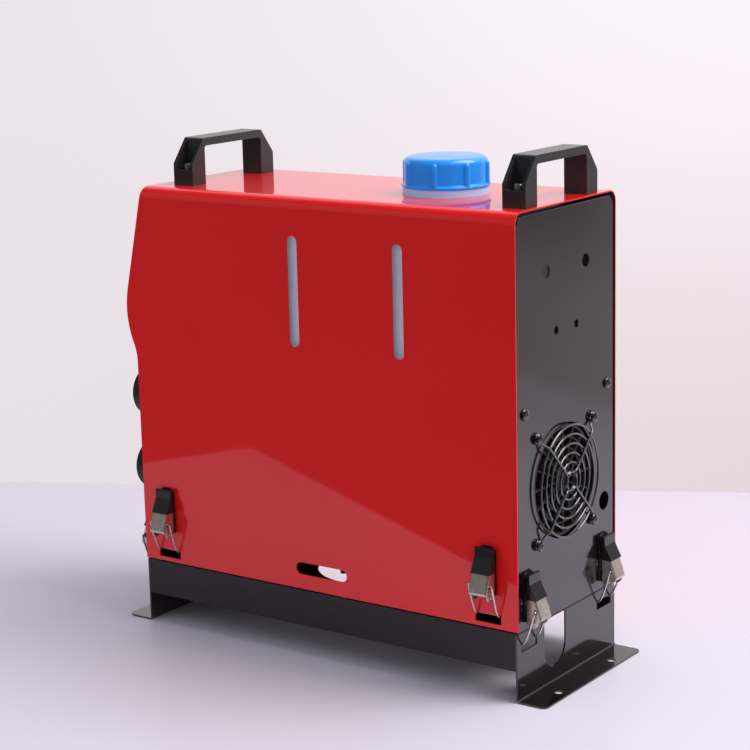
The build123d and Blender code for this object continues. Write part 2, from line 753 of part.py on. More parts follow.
screw_places = [guard_frame.offset(2 * guard_wire_r) * Location((y, z, 0))
                for y in (-guard_pitch / 2, guard_pitch / 2) for z in (-guard_pitch / 2, guard_pitch / 2)]
for end in (-1, 1):
    for y in (-shelf_screw_y, shelf_screw_y):
        screw_places.append(Plane((end * panel_x, y, shelf_screw_z), (0, end, 0), (end, 0, 0)))
with BuildPart() as panel_screws:
    with Locations(*[place if isinstance(place, Location) else place.location for place in screw_places]):
        add(panel_screw.part)
save(panel_screws.part, "panel_screws")

# ================================================================ heater unit
unit = Plane((0, heater_y, heater_z), (0, 1, 0), (1, 0, 0))     # local Z runs along +X
casing_low = heater_z - casing_height / 2
grille_left = panel_x - sheet - side_gap - grille_thick
fuel_x = (exchanger_right + volute_left) / 2
underside_holes = ((exhaust_x, exhaust_r + stub_root_extra), (air_x, air_r + stub_root_extra),
                   (fuel_x, spigot_r + side_gap))
stud_low = casing_low - stud_length
stub_root_z = casing_low - stub_root_under
fuel_inlet_low = casing_low - fuel_inlet_under
stud_spots = [(casing_right - reach, heater_y + side * stud_half_y)
              for reach in stud_in for side in (-1, 1)]

with BuildPart() as casing:
    with BuildSketch(unit.offset(casing_left)):
        RectangleRounded(casing_width, casing_height, casing_corner)
    extrude(amount=casing_right - casing_left)
    with BuildSketch(unit.offset(casing_right)):
        Circle(mouth_r + mouth_wall)
    extrude(amount=grille_left - casing_right)
    with BuildSketch(unit.offset(casing_left)):
        Circle(mouth_r + mouth_wall)
    extrude(amount=warm_mouth - casing_left)
    with BuildSketch(unit.offset(casing_left + casing_wall)):
        RectangleRounded(casing_width - 2 * casing_wall, casing_height - 2 * casing_wall,
                         casing_corner - casing_wall)
    extrude(amount=casing_right - casing_left - 2 * casing_wall, mode=Mode.SUBTRACT)
    with BuildSketch(unit.offset(warm_mouth)):
        Circle(mouth_r)
    extrude(amount=grille_left - warm_mouth, mode=Mode.SUBTRACT)
    for x, r in underside_holes:
        with Locations((x, heater_y, casing_low)):
            Cylinder(r, 4 * casing_wall, mode=Mode.SUBTRACT)
for name, keep in (("casing_upper", Keep.TOP), ("casing_lower", Keep.BOTTOM)):
    with BuildPart() as casing_half:
        add(casing.part)
        split(bisect_by=Plane.XY.offset(heater_z), keep=keep)
    save(casing_half.part, name)

with BuildPart() as heater_bracket:
    bracket_mid = (bracket_left + bracket_right) / 2
    bracket_length = bracket_right - bracket_left
    with Locations((bracket_mid, heater_y, casing_low)):
        Box(bracket_length, 2 * bracket_half, bracket_sheet,
            align=(Align.CENTER, Align.CENTER, Align.MAX))
    for x, way in ((bracket_left, -1), (bracket_right, 1)):
        with Locations((x - way * bracket_sheet / 2, heater_y, stance)):
            Box(bracket_sheet, 2 * bracket_half, casing_low - stance,
                align=(Align.CENTER, Align.CENTER, Align.MIN))
        with Locations((x + way * (bracket_foot / 2 - bracket_sheet), heater_y, stance)):
            Box(bracket_foot, 2 * bracket_half, bracket_sheet,
                align=(Align.CENTER, Align.CENTER, Align.MIN))
    for x, r in underside_holes:
        with Locations((x, heater_y, casing_low)):
            Cylinder(r, 4 * bracket_sheet, mode=Mode.SUBTRACT)
    with Locations(*[(x, y, casing_low) for x, y in stud_spots]):
        Cylinder(stud_r, 4 * bracket_sheet, mode=Mode.SUBTRACT)
save(heater_bracket.part, "heater_bracket")

with BuildPart() as heater_studs:
    with Locations(*[(x, y, casing_low) for x, y in stud_spots]):
        Cylinder(stud_r, casing_low - stud_low, align=(Align.CENTER, Align.CENTER, Align.MAX))
        with Locations((0, 0, -bracket_sheet)):
            with BuildPart(mode=Mode.PRIVATE) as nut:
                with BuildSketch():
                    RegularPolygon(nut_r, 6)
                extrude(amount=-nut_high)
            add(nut.part)
save(heater_studs.part, "heater_studs")


def stub(x, r, bore):
    """Pipe stub down through the casing, the bracket and the base plate's well."""
    with Locations((x, heater_y, stub_low)):
        Cylinder(r, heater_z - stub_low, align=(Align.CENTER, Align.CENTER, Align.MIN))
    with Locations((x, heater_y, stub_root_z)):
        Cylinder(r + stub_root_extra, heater_z - stub_root_z,
                 align=(Align.CENTER, Align.CENTER, Align.MIN))


with BuildPart() as heat_exchanger:
    stub(exhaust_x, exhaust_r, exhaust_bore)
    with BuildSketch(unit.offset(exchanger_left)):
        Circle(exchanger_r)
    extrude(amount=exchanger_right - exchanger_left)
    with BuildSketch(unit.offset(exchanger_left + fin_start)):
        with PolarLocations((exchanger_r + fin_r - fin_root) / 2, fin_count):
            Rectangle(fin_r - exchanger_r + fin_root, fin_thick)
    extrude(amount=exchanger_right - exchanger_left - fin_start)
    with Locations((exhaust_x, heater_y, stub_low)):
        Cylinder(exhaust_bore, heater_z - stub_low, mode=Mode.SUBTRACT,
                 align=(Align.CENTER, Align.CENTER, Align.MIN))
    with BuildSketch(unit.offset(exchanger_left + exchanger_wall)):
        Circle(exchanger_r - exchanger_wall)
    extrude(amount=exchanger_right - exchanger_left, mode=Mode.SUBTRACT)
    with Locations((plug_x, heater_y, heater_z)):
        Cylinder(plug_r, fin_r, mode=Mode.SUBTRACT, align=(Align.CENTER, Align.CENTER, Align.MIN))
        with Locations((0, 0, exchanger_r)):
            Cylinder(plug_head_r + plug_head_gap, fin_r, mode=Mode.SUBTRACT,
                     align=(Align.CENTER, Align.CENTER, Align.MIN))
save(heat_exchanger.part, "heat_exchanger")

with BuildPart() as glow_plug:
    with Locations((plug_x, heater_y, heater_z + burner_r - burner_wall)):
        Cylinder(plug_r, plug_top - burner_r + burner_wall,
                 align=(Align.CENTER, Align.CENTER, Align.MIN))
    with Locations((plug_x, heater_y, heater_z + exchanger_r)):
        Cylinder(plug_head_r, plug_head, align=(Align.CENTER, Align.CENTER, Align.MIN))
save(glow_plug.part, "glow_plug")

with BuildPart() as burner_tube:
    with BuildSketch(unit.offset(burner_left)):
        Circle(burner_r)
        Circle(burner_r - burner_wall, mode=Mode.SUBTRACT)
    extrude(amount=exchanger_right - burner_left)
    with BuildSketch(unit.offset(exchanger_right)):
        Circle(exchanger_r)
    extrude(amount=volute_left - exchanger_right)
    with Locations((fuel_x, heater_y, fuel_inlet_low)):
        Cylinder(spigot_r, heater_z - exchanger_r + spigot_r - fuel_inlet_low,
                 align=(Align.CENTER, Align.CENTER, Align.MIN))
    with Locations((plug_x, heater_y, heater_z)):
        Cylinder(plug_r, exchanger_r, mode=Mode.SUBTRACT, align=(Align.CENTER, Align.CENTER, Align.MIN))
save(burner_tube.part, "burner_tube")

with BuildPart() as blower_motor:
    stub(air_x, air_r, air_bore)
    with BuildSketch(unit.offset(volute_left)):
        Circle(volute_r)
    extrude(amount=volute_right - volute_left)
    with BuildSketch(unit.offset(volute_right)):
        Circle(motor_r)
    extrude(amount=motor_right - volute_right)
    with BuildSketch(unit.offset(volute_left + volute_wall)):
        Circle(volute_r - volute_wall)
    extrude(amount=volute_right - volute_left - 2 * volute_wall, mode=Mode.SUBTRACT)
    with BuildSketch(unit.offset(volute_left)):
        Circle(shaft_r + run_gap)
    extrude(amount=motor_right - volute_left, mode=Mode.SUBTRACT)
    with Locations((air_x, heater_y, stub_low)):
        Cylinder(air_bore, heater_z - volute_r + volute_wall - stub_low, mode=Mode.SUBTRACT,
                 align=(Align.CENTER, Align.CENTER, Align.MIN))
save(blower_motor.part, "blower_motor")

with BuildPart() as rotor_shaft:
    with BuildSketch(unit.offset(volute_left + shaft_gap)):
        Circle(shaft_r)
    extrude(amount=fan_right - volute_left - shaft_gap)
save(rotor_shaft.part, "rotor_shaft")

with BuildPart() as intake_fan:
    with BuildSketch(unit.offset(fan_left)):
        Circle(fan_hub_r)
    extrude(amount=fan_right - fan_left)
    fillet(intake_fan.edges().filter_by(GeomType.CIRCLE).sort_by(Axis.X)[-1], fan_nose_r)
    chord = (fan_right - fan_left - blade_root) / cos(radians(fan_pitch))
    with Locations(Plane((0.5 * (fan_left + fan_right), heater_y, heater_z), (0, 1, 0), (1, 0, 0)).location):
        with PolarLocations((fan_hub_r + fan_r - blade_root) / 2, fan_blades):
            with Locations(Location((0, 0, 0), (fan_pitch, 0, 0))):
                Box(fan_r - fan_hub_r + blade_root, blade_thick, chord)
    with BuildSketch(unit.offset(fan_left)):
        Circle(shaft_r)
    extrude(amount=fan_right - fan_left, mode=Mode.SUBTRACT)
save(intake_fan.part, "intake_fan")

impeller_left = volute_left + volute_wall + impeller_gap
with BuildPart() as combustion_impeller:
    with BuildSketch(unit.offset(impeller_left)):
        Circle(impeller_r)
    extrude(amount=impeller_disc)
    with BuildSketch(unit.offset(impeller_left + impeller_disc)):
        Circle(impeller_hub_r)
        with PolarLocations(impeller_r * 0.6, impeller_vanes):
            Rectangle(impeller_r * 0.7, impeller_vane_thick)
    extrude(amount=impeller_vane_depth)
    with BuildSketch(unit.offset(impeller_left)):
        Circle(shaft_r)
    extrude(amount=2 * impeller_vane_depth, mode=Mode.SUBTRACT)
save(combustion_impeller.part, "combustion_impeller")

with BuildPart() as control_unit:
    with Locations((control_unit_x, heater_y, heater_z + casing_height / 2 - casing_wall)):
        Box(control_unit_length, control_unit_width, control_unit_thick,
            align=(Align.CENTER, Align.CENTER, Align.MAX))
    fillet(control_unit.edges().filter_by(Axis.X), control_unit_edge_r)
save(control_unit.part, "control_unit")

with BuildPart() as inlet_grille:
    with BuildSketch(unit.offset(grille_left)):
        Circle(grille_r)
        Circle(grille_r - grille_rim, mode=Mode.SUBTRACT)
        for r in grille_bars:
            Circle(r + grille_bar / 2)
            Circle(r - grille_bar / 2, mode=Mode.SUBTRACT)
        with PolarLocations((grille_r + grille_hub_r - grille_rim / 2) / 2, grille_spokes):
            Rectangle(grille_r - grille_hub_r, grille_bar)
        Circle(grille_hub_r)
    extrude(amount=grille_thick)
save(inlet_grille.part, "inlet_grille")

# ================================================================ warm-air side
manifold_front = -panel_x + sheet
manifold_mid = (manifold_low + manifold_high) / 2
hood = Plane((manifold_front, 0, manifold_mid), (0, 1, 0), (1, 0, 0))
throat_half = mouth_r + mouth_wall + throat_gap


def manifold_form(inset):
    """Loft from the four outlets' hood to the casing's mouth, moved in by inset."""
    with BuildPart() as form:
        with BuildSketch(hood.offset(inset)):
            RectangleRounded(2 * (manifold_half - inset),
                             manifold_high - manifold_low - 2 * inset, hood_corner_r - inset)
        with BuildSketch(unit.offset(warm_mouth + throat_in - inset)):
            RectangleRounded(2 * (throat_half - inset), 2 * (throat_half - inset), throat_corner_r)
        loft()
    return form.part


with BuildPart() as air_manifold:
    add(manifold_form(0))
    add(manifold_form(manifold_wall), mode=Mode.SUBTRACT)
    with BuildSketch(unit.offset(warm_mouth - throat_gap)):
        Circle(mouth_r + mouth_wall)
    extrude(amount=2 * throat_in + throat_gap, mode=Mode.SUBTRACT)
    with BuildSketch(warm_end):
        with GridLocations(outlet_pitch_y, outlet_pitch_z, 2, 2):
            Circle(outlet_r)
    extrude(amount=-4 * manifold_wall, mode=Mode.SUBTRACT)
save(air_manifold.part, "air_manifold")

with BuildPart() as vent_collar:
    Cylinder(outlet_flange_r, outlet_flange, align=(Align.CENTER, Align.CENTER, Align.MIN))
    fillet(vent_collar.edges().group_by(Axis.Z)[-1], outlet_edge_r)
    Cylinder(outlet_r, outlet_proud, align=(Align.CENTER, Align.CENTER, Align.MIN))
    fillet(vent_collar.edges().group_by(Axis.Z)[-1], outlet_edge_r)
    with Locations((0, 0, -sheet - manifold_wall)):
        Cylinder(outlet_r, sheet + manifold_wall, align=(Align.CENTER, Align.CENTER, Align.MIN))
    louvre_low = outlet_proud - louvre_depth - louvre_in
    with Locations((0, 0, louvre_low)):
        Cylinder(outlet_r - outlet_wall, outlet_proud, mode=Mode.SUBTRACT,
                 align=(Align.CENTER, Align.CENTER, Align.MIN))
    Cylinder(outlet_r - outlet_wall - outlet_step, 4 * outlet_proud, mode=Mode.SUBTRACT)
with BuildPart() as vent_collars:
    with Locations(warm_end.location):
        with GridLocations(outlet_pitch_y, outlet_pitch_z, 2, 2):
            add(vent_collar.part)
save(vent_collars.part, "vent_collars")

with BuildPart() as vent_louvre:
    louvre_r = outlet_r - outlet_wall - side_gap
    with BuildSketch():
        Circle(louvre_r)
        Circle(louvre_r - louvre_wall, mode=Mode.SUBTRACT)
    extrude(amount=louvre_depth)
    with BuildPart(mode=Mode.PRIVATE) as slats:
        slat_step = 2 * louvre_r / (louvre_slats + 1)
        with Locations(*[(0, slat_step * (slat + 1) - louvre_r, louvre_depth / 2)
                         for slat in range(louvre_slats)]):
            Box(2 * louvre_r, slat_thick, (louvre_depth - slat_in) / cos(radians(louvre_tilt)),
                rotation=(louvre_tilt, 0, 0))
        Cylinder(louvre_r - louvre_wall / 2, 2 * louvre_depth, mode=Mode.INTERSECT)
    add(slats.part)
louvre_names = ("vent_louvre_upper_front", "vent_louvre_upper_back",
                "vent_louvre_lower_front", "vent_louvre_lower_back")
louvre_spots = [(side * outlet_pitch_y / 2, level * outlet_pitch_z / 2)
                for level in (1, -1) for side in (1, -1)]
for name, (across, up) in zip(louvre_names, louvre_spots):
    place = warm_end.location * Location((across, up, louvre_low + side_gap))
    save(vent_louvre.part.moved(place), name)

# ================================================================ control panel
face_dir = (-cos(radians(lean)), 0, sin(radians(lean)))
control = Plane((nose_point(panel_inset, bezel_z), 0, bezel_z), (0, -1, 0), face_dir)

with BuildPart() as control_bezel:
    with BuildSketch(control):
        RectangleRounded(bezel_length, bezel_height, bezel_corner)
    extrude(amount=bezel_thick)
    fillet(control_bezel.faces().sort_by(Axis(control.origin, control.z_dir))[-1].edges(),
           bezel_edge_r)
    with BuildSketch(control.offset(bezel_thick)):
        with Locations((lens_shift, 0)):
            Rectangle(lens_length, lens_height)
    extrude(amount=-lens_thick, mode=Mode.SUBTRACT)
    with BuildSketch(control.offset(bezel_thick)):
        with Locations((button_x, 0)):
            with GridLocations(1, button_pitch, 1, button_count):
                Circle(button_r + side_gap)
    extrude(amount=side_gap - bezel_thick, mode=Mode.SUBTRACT)
save(control_bezel.part, "control_bezel")

with BuildPart() as display_lens:
    with BuildSketch(control.offset(bezel_thick - lens_thick)):
        with Locations((lens_shift, 0)):
            Rectangle(lens_length, lens_height)
    extrude(amount=lens_thick)
save(display_lens.part, "display_lens")

with BuildPart() as control_button:
    button_floor = 2 * side_gap + button_travel
    with Locations((0, 0, button_floor)):
        Cylinder(button_r, bezel_thick + button_proud - button_floor,
                 align=(Align.CENTER, Align.CENTER, Align.MIN))
    fillet(control_button.edges().group_by(Axis.Z)[-1], button_edge_r)
for index, name in enumerate(("button_up", "button_power", "button_down")):
    up = (1 - index) * button_pitch
    save(control_button.part.moved(control.location * Location((button_x, up, 0))), name)

# ================================================================ fuel pump and lines
with BuildPart() as fuel_pump:
    with Locations((pump_x, pump_y, pump_low)):
        Cylinder(pump_r, pump_length, align=(Align.CENTER, Align.CENTER, Align.MIN))
        with Locations((0, 0, -spigot)):
            Cylinder(spigot_r, pump_length + 2 * spigot, align=(Align.CENTER, Align.CENTER, Align.MIN))
save(fuel_pump.part, "fuel_pump")

with BuildPart() as pump_clamp:
    clamp_z = pump_low + pump_length / 2
    with Locations((pump_x, pump_y, clamp_z)):
        Cylinder(pump_r + clamp_wall, clamp_width)
        Box(panel_x - sheet - pump_x, clamp_foot, clamp_width,
            align=(Align.MIN, Align.CENTER, Align.CENTER))
        Cylinder(pump_r, 2 * clamp_width, mode=Mode.SUBTRACT)
save(pump_clamp.part, "pump_clamp")


def hose(points, radii):
    """Hollow fuel hose along straight runs joined by arcs."""
    with BuildPart() as tube:
        with BuildLine():
            path = FilletPolyline(*points, radius=radii)
        with BuildSketch(Plane(path @ 0, z_dir=path % 0)):
            Circle(line_r)
            Circle(spigot_r, mode=Mode.SUBTRACT)
        sweep()
    return tube.part


suction = [(tank_right, pump_y, tank_out_z), (pump_x, pump_y, tank_out_z), (pump_x, pump_y, pump_low)]
feed_top = pump_low + pump_length + spigot + line_bend + line_r
feed_under = fuel_inlet_low - line_bend
feed = [(pump_x, pump_y, pump_low + pump_length), (pump_x, pump_y, feed_top),
        (pump_x, line_y, feed_top), (pump_x, line_y, feed_under),
        (fuel_x, line_y, feed_under), (fuel_x, heater_y, feed_under),
        (fuel_x, heater_y, fuel_inlet_low + push_on)]
with BuildPart() as fuel_lines:
    add(hose(suction, suction_bend))
    add(hose(feed, line_bend))
save(fuel_lines.part, "fuel_lines")

# ================================================================ toggle latches
# Side view of a latch: first coordinate outward, second up.
latch_side = Plane((0, 0, 0), (0, 0, 1), (-1, 0, 0))
ear_half = lever_half - lever_sheet - side_gap
face_lean = (lip_out - grip_foot_out) / (grip_start - lever_step)


def face_out(up):
    """How far the lever's outer face stands off the panel at a height."""
    return lip_out - face_lean * (up - lever_step)


with BuildPart() as latch_plate:
    with BuildSketch():
        with Locations((0, plate_low)):
            Rectangle(2 * plate_half, plate_high - plate_low, align=(Align.CENTER, Align.MIN))
        fillet(vertices().group_by(Axis.Y)[-1], plate_corner_r)
        with Locations(*[(0, up) for up in rivet_ups]):
            Circle(rivet_r, mode=Mode.SUBTRACT)
    extrude(amount=plate_thick)
    with BuildSketch(latch_side):
        with BuildLine():
            Polyline((0, pivot_up - plate_ear_low), (0, pivot_up + plate_ear_high),
                     (pivot_out, pivot_up + plate_ear_r), (pivot_out, pivot_up - plate_ear_r), close=True)
        make_face()
        with Locations((pivot_out, pivot_up)):
            Circle(plate_ear_r)
    extrude(amount=ear_half, both=True)
    with BuildSketch(latch_side):
        with Locations((plate_thick, plate_low)):
            Rectangle(plate_high, plate_high, align=(Align.MIN, Align.MIN))
    extrude(amount=ear_half - lever_sheet, both=True, mode=Mode.SUBTRACT)
    with BuildSketch(latch_side):
        with Locations((pivot_out, pivot_up)):
            Circle(pin_r)
    extrude(amount=lever_half, both=True, mode=Mode.SUBTRACT)

with BuildPart() as latch_rivet:
    with BuildSketch(latch_side):
        with Locations((pivot_out, pivot_up)):
            Circle(pin_r)
    extrude(amount=lever_half + side_gap / 2, both=True)
    for side in (-1, 1):
        with BuildSketch(latch_side.offset(side * (lever_half + side_gap / 2))):
            with Locations((pivot_out, pivot_up)):
                Circle(pin_head_r)
        extrude(amount=side * pin_head)
    with Locations(*[(0, up, plate_thick) for up in rivet_ups]):
        Cylinder(rivet_head_r, rivet_head, align=(Align.CENTER, Align.CENTER, Align.MIN))
        Cylinder(rivet_r, plate_thick + sheet, align=(Align.CENTER, Align.CENTER, Align.MAX))

with BuildPart() as latch_lever:
    ear_in = pivot_out - lever_ear_r
    ear_edge = pivot_out + lever_ear_r
    with BuildSketch(latch_side):
        with BuildLine():
            Polyline((ear_in, pivot_up), (ear_in, grip_start), (face_out(grip_start), grip_start),
                     (lip_out, lever_step), (ear_edge, pivot_up), close=True)
        make_face()
        with Locations((pivot_out, pivot_up)):
            Circle(lever_ear_r)
    extrude(amount=lever_half, both=True)
    with BuildSketch(latch_side):
        with BuildLine():
            Polyline((0, 0), (0, grip_end), (face_out(grip_end) - lever_sheet, grip_end),
                     (lip_out - lever_sheet, lever_step), (2 * lip_out, lever_step),
                     (2 * lip_out, 0), close=True)
        make_face()
    extrude(amount=lever_half - lever_sheet, both=True, mode=Mode.SUBTRACT)
    tang_top = grip_end - tang_drop
    with BuildSketch(latch_side):
        with BuildLine():
            Polyline((face_out(grip_start) - lever_sheet, grip_start), (face_out(grip_start), grip_start),
                     (face_out(tang_top), tang_top), (face_out(tang_top) - lever_sheet, tang_top),
                     close=True)
        make_face()
    extrude(amount=lever_half - 2 * lever_sheet, both=True)
    with BuildSketch(latch_side):
        with Locations((pivot_out, pivot_up)):
            Circle(pin_r + run_gap)
        with Locations((bail_out, bail_up)):
            Circle(wire_r + run_gap)
    extrude(amount=2 * lever_half, both=True, mode=Mode.SUBTRACT)

with BuildPart() as latch_grip:
    with BuildSketch(latch_side):
        with BuildLine():
            Polyline((ear_in - grip_under, grip_start), (face_out(grip_start) + grip_over, grip_start),
                     (face_out(grip_end - grip_tip_drop) + 0.8 * grip_over, grip_end - grip_tip_drop),
                     (grip_tip_out, grip_end), (ear_in - grip_under, grip_end - grip_tip_edge), close=True)
        make_face()
        fillet(vertices().sort_by(Axis.Y)[-3:], grip_edge_r)
    extrude(amount=grip_half, both=True)
    with BuildSketch(latch_side):
        with BuildLine():
            Polyline((face_out(grip_start) - lever_sheet, grip_start), (face_out(grip_start), grip_start),
                     (face_out(tang_top), tang_top), (face_out(tang_top) - lever_sheet, tang_top),
                     close=True)
        make_face()
    extrude(amount=lever_half - 2 * lever_sheet, both=True, mode=Mode.SUBTRACT)

# the bail's leg in side view, from its pivot down to the hook behind the panel
bail_leg = [(bail_out, bail_up), *bail_bends, (-bail_hook_in, bail_hook_up)]
with BuildPart() as latch_bail:
    with BuildLine():
        path = Polyline(*[(-bail_half, up, out) for out, up in bail_leg],
                        *[(bail_half, up, out) for out, up in reversed(bail_leg)])
    with BuildSketch(Plane(path @ 0, x_dir=(1, 0, 0), z_dir=path % 0)):
        RegularPolygon(wire_r, wire_facet_count)
    sweep(transition=Transition.RIGHT)
    for side in (-1, 1):
        with BuildSketch(latch_side.offset(side * (lever_half - lever_sheet))):
            with Locations((bail_out, bail_up)):
                Circle(wire_r)
        extrude(amount=side * (bail_half + wire_r * 0.5 - lever_half + lever_sheet))

with BuildPart() as latch_plates:
    with Locations(*[plane.location for plane in latch_frames.values()]):
        add(latch_plate.part)
save(latch_plates.part, "latch_plates")
with BuildPart() as latch_rivets:
    with Locations(*[plane.location for plane in latch_frames.values()]):
        add(latch_rivet.part)
save(latch_rivets.part, "latch_rivets")
for name, plane in latch_frames.items():
    pieces = [latch_lever.part.moved(plane.location), latch_grip.part.moved(plane.location)]
    save(Compound(children=pieces), f"latch_lever_{name}")
    save(latch_bail.part.moved(plane.location), f"latch_bail_{name}")
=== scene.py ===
import json
import math
from math import cos, radians, sin, tan

import bpy
from bpy.props import FloatProperty, FloatVectorProperty, IntProperty, PointerProperty
from bpy.types import Operator, Panel, PropertyGroup
from mathutils import Matrix, Vector


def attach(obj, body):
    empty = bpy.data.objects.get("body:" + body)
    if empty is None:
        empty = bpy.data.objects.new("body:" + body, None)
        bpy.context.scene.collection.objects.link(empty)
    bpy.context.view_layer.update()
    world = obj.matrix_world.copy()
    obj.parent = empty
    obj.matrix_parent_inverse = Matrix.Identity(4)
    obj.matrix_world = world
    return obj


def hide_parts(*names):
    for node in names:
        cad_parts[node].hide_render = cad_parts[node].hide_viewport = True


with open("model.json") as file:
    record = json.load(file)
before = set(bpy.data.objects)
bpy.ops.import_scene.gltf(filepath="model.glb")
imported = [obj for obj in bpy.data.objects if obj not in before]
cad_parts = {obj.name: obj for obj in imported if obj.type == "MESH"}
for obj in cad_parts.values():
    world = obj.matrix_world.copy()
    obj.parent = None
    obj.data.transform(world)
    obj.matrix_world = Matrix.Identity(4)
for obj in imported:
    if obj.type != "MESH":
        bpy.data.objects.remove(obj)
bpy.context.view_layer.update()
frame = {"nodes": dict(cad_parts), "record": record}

bl_info = {
    "name": "Diesel Air Heater",
    "version": (1, 0, 0),
    "blender": (4, 5, 0),
    "location": "3D View > Sidebar > Heater",
    "description": "Dresses the packed air heater with its sheet-metal, wire and moulded pieces",
    "category": "Object",
}

MM = 0.001

# sizes shared with the solids, in millimetres
HALF_LENGTH = 184.0
HALF_WIDTH = 75.0
CASE_TOP = 372.0
STANCE = 55.0
SHEET = 1.2
BASE_SHEET = 1.5
TOP_BEND = 9.0
PANEL_X = 183.0
GUARD_Y = -3.0
GUARD_Z = 157.5
GUARD_PITCH = 82.5
NECK_X = 76.6
HANDLE_X = (-144.3, 170.1)
SHELF_SCREW_Y = 62.0
SHELF_SCREW_Z = 221.0
OUTLET_Y = 42.0
WINDOW_WIDTH = 23.0
WINDOW_HEIGHT = 7.0
CASE_WINDOW_Z = 59.5         # lower edges of the latch windows: in the long sides,
LEG_WINDOW_Z = 38.6          # and in the legs
CASE_LATCH_X = 157.75
LEG_LATCH_Y = 57.6
NOSE_START = 225.0           # where the outlet end leaves the upright
LEAN = 12.8                  # degrees that the control panel leans back
SHARP = 32.0                 # degrees from which a turn between faces counts as an edge


def length(name, value, text, low=0.0):
    """A size for the sidebar, given here in millimetres."""
    return FloatProperty(name=name, default=value * MM, min=low * MM, subtype="DISTANCE", unit="LENGTH",
                         precision=4, description=text)


def colour(name, red, green, blue, text):
    """A colour for the sidebar, given as it shows on screen."""
    shown = tuple(linear(part) for part in (red, green, blue))
    return FloatVectorProperty(name=name, subtype="COLOR", size=3, min=0, max=1, default=shown,
                               description=text)


def size(name):
    """A size from the sidebar, in millimetres."""
    return getattr(bpy.context.scene.heater_sizes, name) / MM


def linear(part):
    """One screen colour part, 0 to 255, as linear light."""
    part /= 255
    return part / 12.92 if part <= 0.04045 else ((part + 0.055) / 1.055) ** 2.4


class HeaterSizes(PropertyGroup):
    """Sizes of the dressed pieces."""
    edge: length("Sheet edge", 0.3, "Rounding of cut sheet edges")
    moulded_edge: length("Moulded edge", 0.9, "Rounding of moulded plastic edges")
    bend_steps: IntProperty(name="Bend steps", default=8, min=2, description="Faces round a sheet bend")
    guard_wire: length("Guard wire", 1.8, "Thickness of the fan guard's wire", 0.5)
    bail_wire: length("Bail wire", 1.6, "Thickness of a latch bail's wire", 0.5)
    grip_edge: length("Grip edge", 0.55, "Rounding of the latch grips")
    round_steps: IntProperty(name="Round steps", default=64, min=12, description="Faces round a turned piece")


class HeaterColours(PropertyGroup):
    """Colours of the finishes."""
    red: colour("Red gloss", 238, 14, 15, "Shell")
    black: colour("Black satin", 20, 13, 14, "End panels")
    base: colour("Base black", 18, 17, 19, "Tray and legs")
    handle: colour("Handle black", 38, 35, 36, "Carrying handles")
    cap: colour("Blue cap", 22, 150, 250, "Filler cap")
    tank: colour("Milky tank", 212, 210, 226, "Fuel tank")
    nickel: colour("Nickel", 234, 224, 210, "Latch levers")
    bright: colour("Bright wire", 214, 208, 204, "Latch bails")
    grip: colour("Grip black", 23, 22, 23, "Latch grips")
    wall: colour("Wall", 243, 234, 240, "Backdrop")
    table: colour("Table", 222, 216, 227, "Floor")


# ---------------------------------------------------------------- modelling by hand
def clear():
    """Leave edit mode with nothing selected."""
    if bpy.context.mode != "OBJECT":
        bpy.ops.object.mode_set(mode="OBJECT")
    bpy.ops.object.select_all(action="DESELECT")


def take(*things):
    """Select these objects only, with the last one active."""
    clear()
    for thing in things:
        thing.select_set(True)
    bpy.context.view_layer.objects.active = things[-1]


def edit(piece):
    """Open a piece in edit mode with everything selected."""
    take(piece)
    bpy.ops.object.mode_set(mode="EDIT")
    bpy.ops.mesh.select_all(action="SELECT")


def outward():
    """Turn the selected faces outward and leave edit mode."""
    bpy.ops.mesh.select_all(action="SELECT")
    bpy.ops.mesh.normals_make_consistent(inside=False)
    bpy.ops.object.mode_set(mode="OBJECT")


def discard(thing):
    """Delete an object that has served its purpose."""
    take(thing)
    bpy.ops.object.delete()


def settle(piece, place):
    """Put a piece at a place and keep that place in its mesh."""
    piece.matrix_world = place
    take(piece)
    bpy.ops.object.transform_apply(location=True, rotation=True, scale=True)
    return piece


def modify(piece, kind, **settings):
    """Add a modifier, set it and apply it."""
    take(piece)
    bpy.ops.object.modifier_add(type=kind)
    modifier = piece.modifiers[-1]
    for name, value in settings.items():
        setattr(modifier, name, value)
    bpy.ops.object.modifier_apply(modifier=modifier.name)
    return piece


def smooth(piece):
    """Smooth shading, with flat faces kept flat."""
    take(piece)
    bpy.ops.object.shade_smooth_by_angle(angle=radians(SHARP))
    return modify(piece, "WEIGHTED_NORMAL", keep_sharp=True, weight=90)


def soften(piece, width, steps=2, turn=SHARP):
    """Round the sharp edges of a piece by a width in millimetres."""
    modify(piece, "BEVEL", width=width * MM, segments=steps, limit_method="ANGLE",
           angle_limit=radians(turn), use_clamp_overlap=True)
    return smooth(piece)


def join(*pieces):
    """Make one object of several."""
    take(*pieces)
    bpy.ops.object.join()
    return pieces[-1]


def copy(piece):
    """A copy with its own mesh."""
    twin = piece.copy()
    twin.data = piece.data.copy()
    bpy.context.scene.collection.objects.link(twin)
    return twin


def spread(piece, places):
    """Copies of a piece at these places, in its stead."""
    copies = [settle(copy(piece), place) for place in places]
    discard(piece)
    return copies


def combine(piece, operation, tool):
    """Add a tool's shape to a piece or take it away, and drop the tool."""
    modify(piece, "BOOLEAN", object=tool, operation=operation, solver="EXACT")
    discard(tool)
    return piece


def cut(piece, *cutters):
    """Take the cutters' shapes out of a piece."""
    return combine(piece, "DIFFERENCE", join(*cutters) if len(cutters) > 1 else cutters[0])


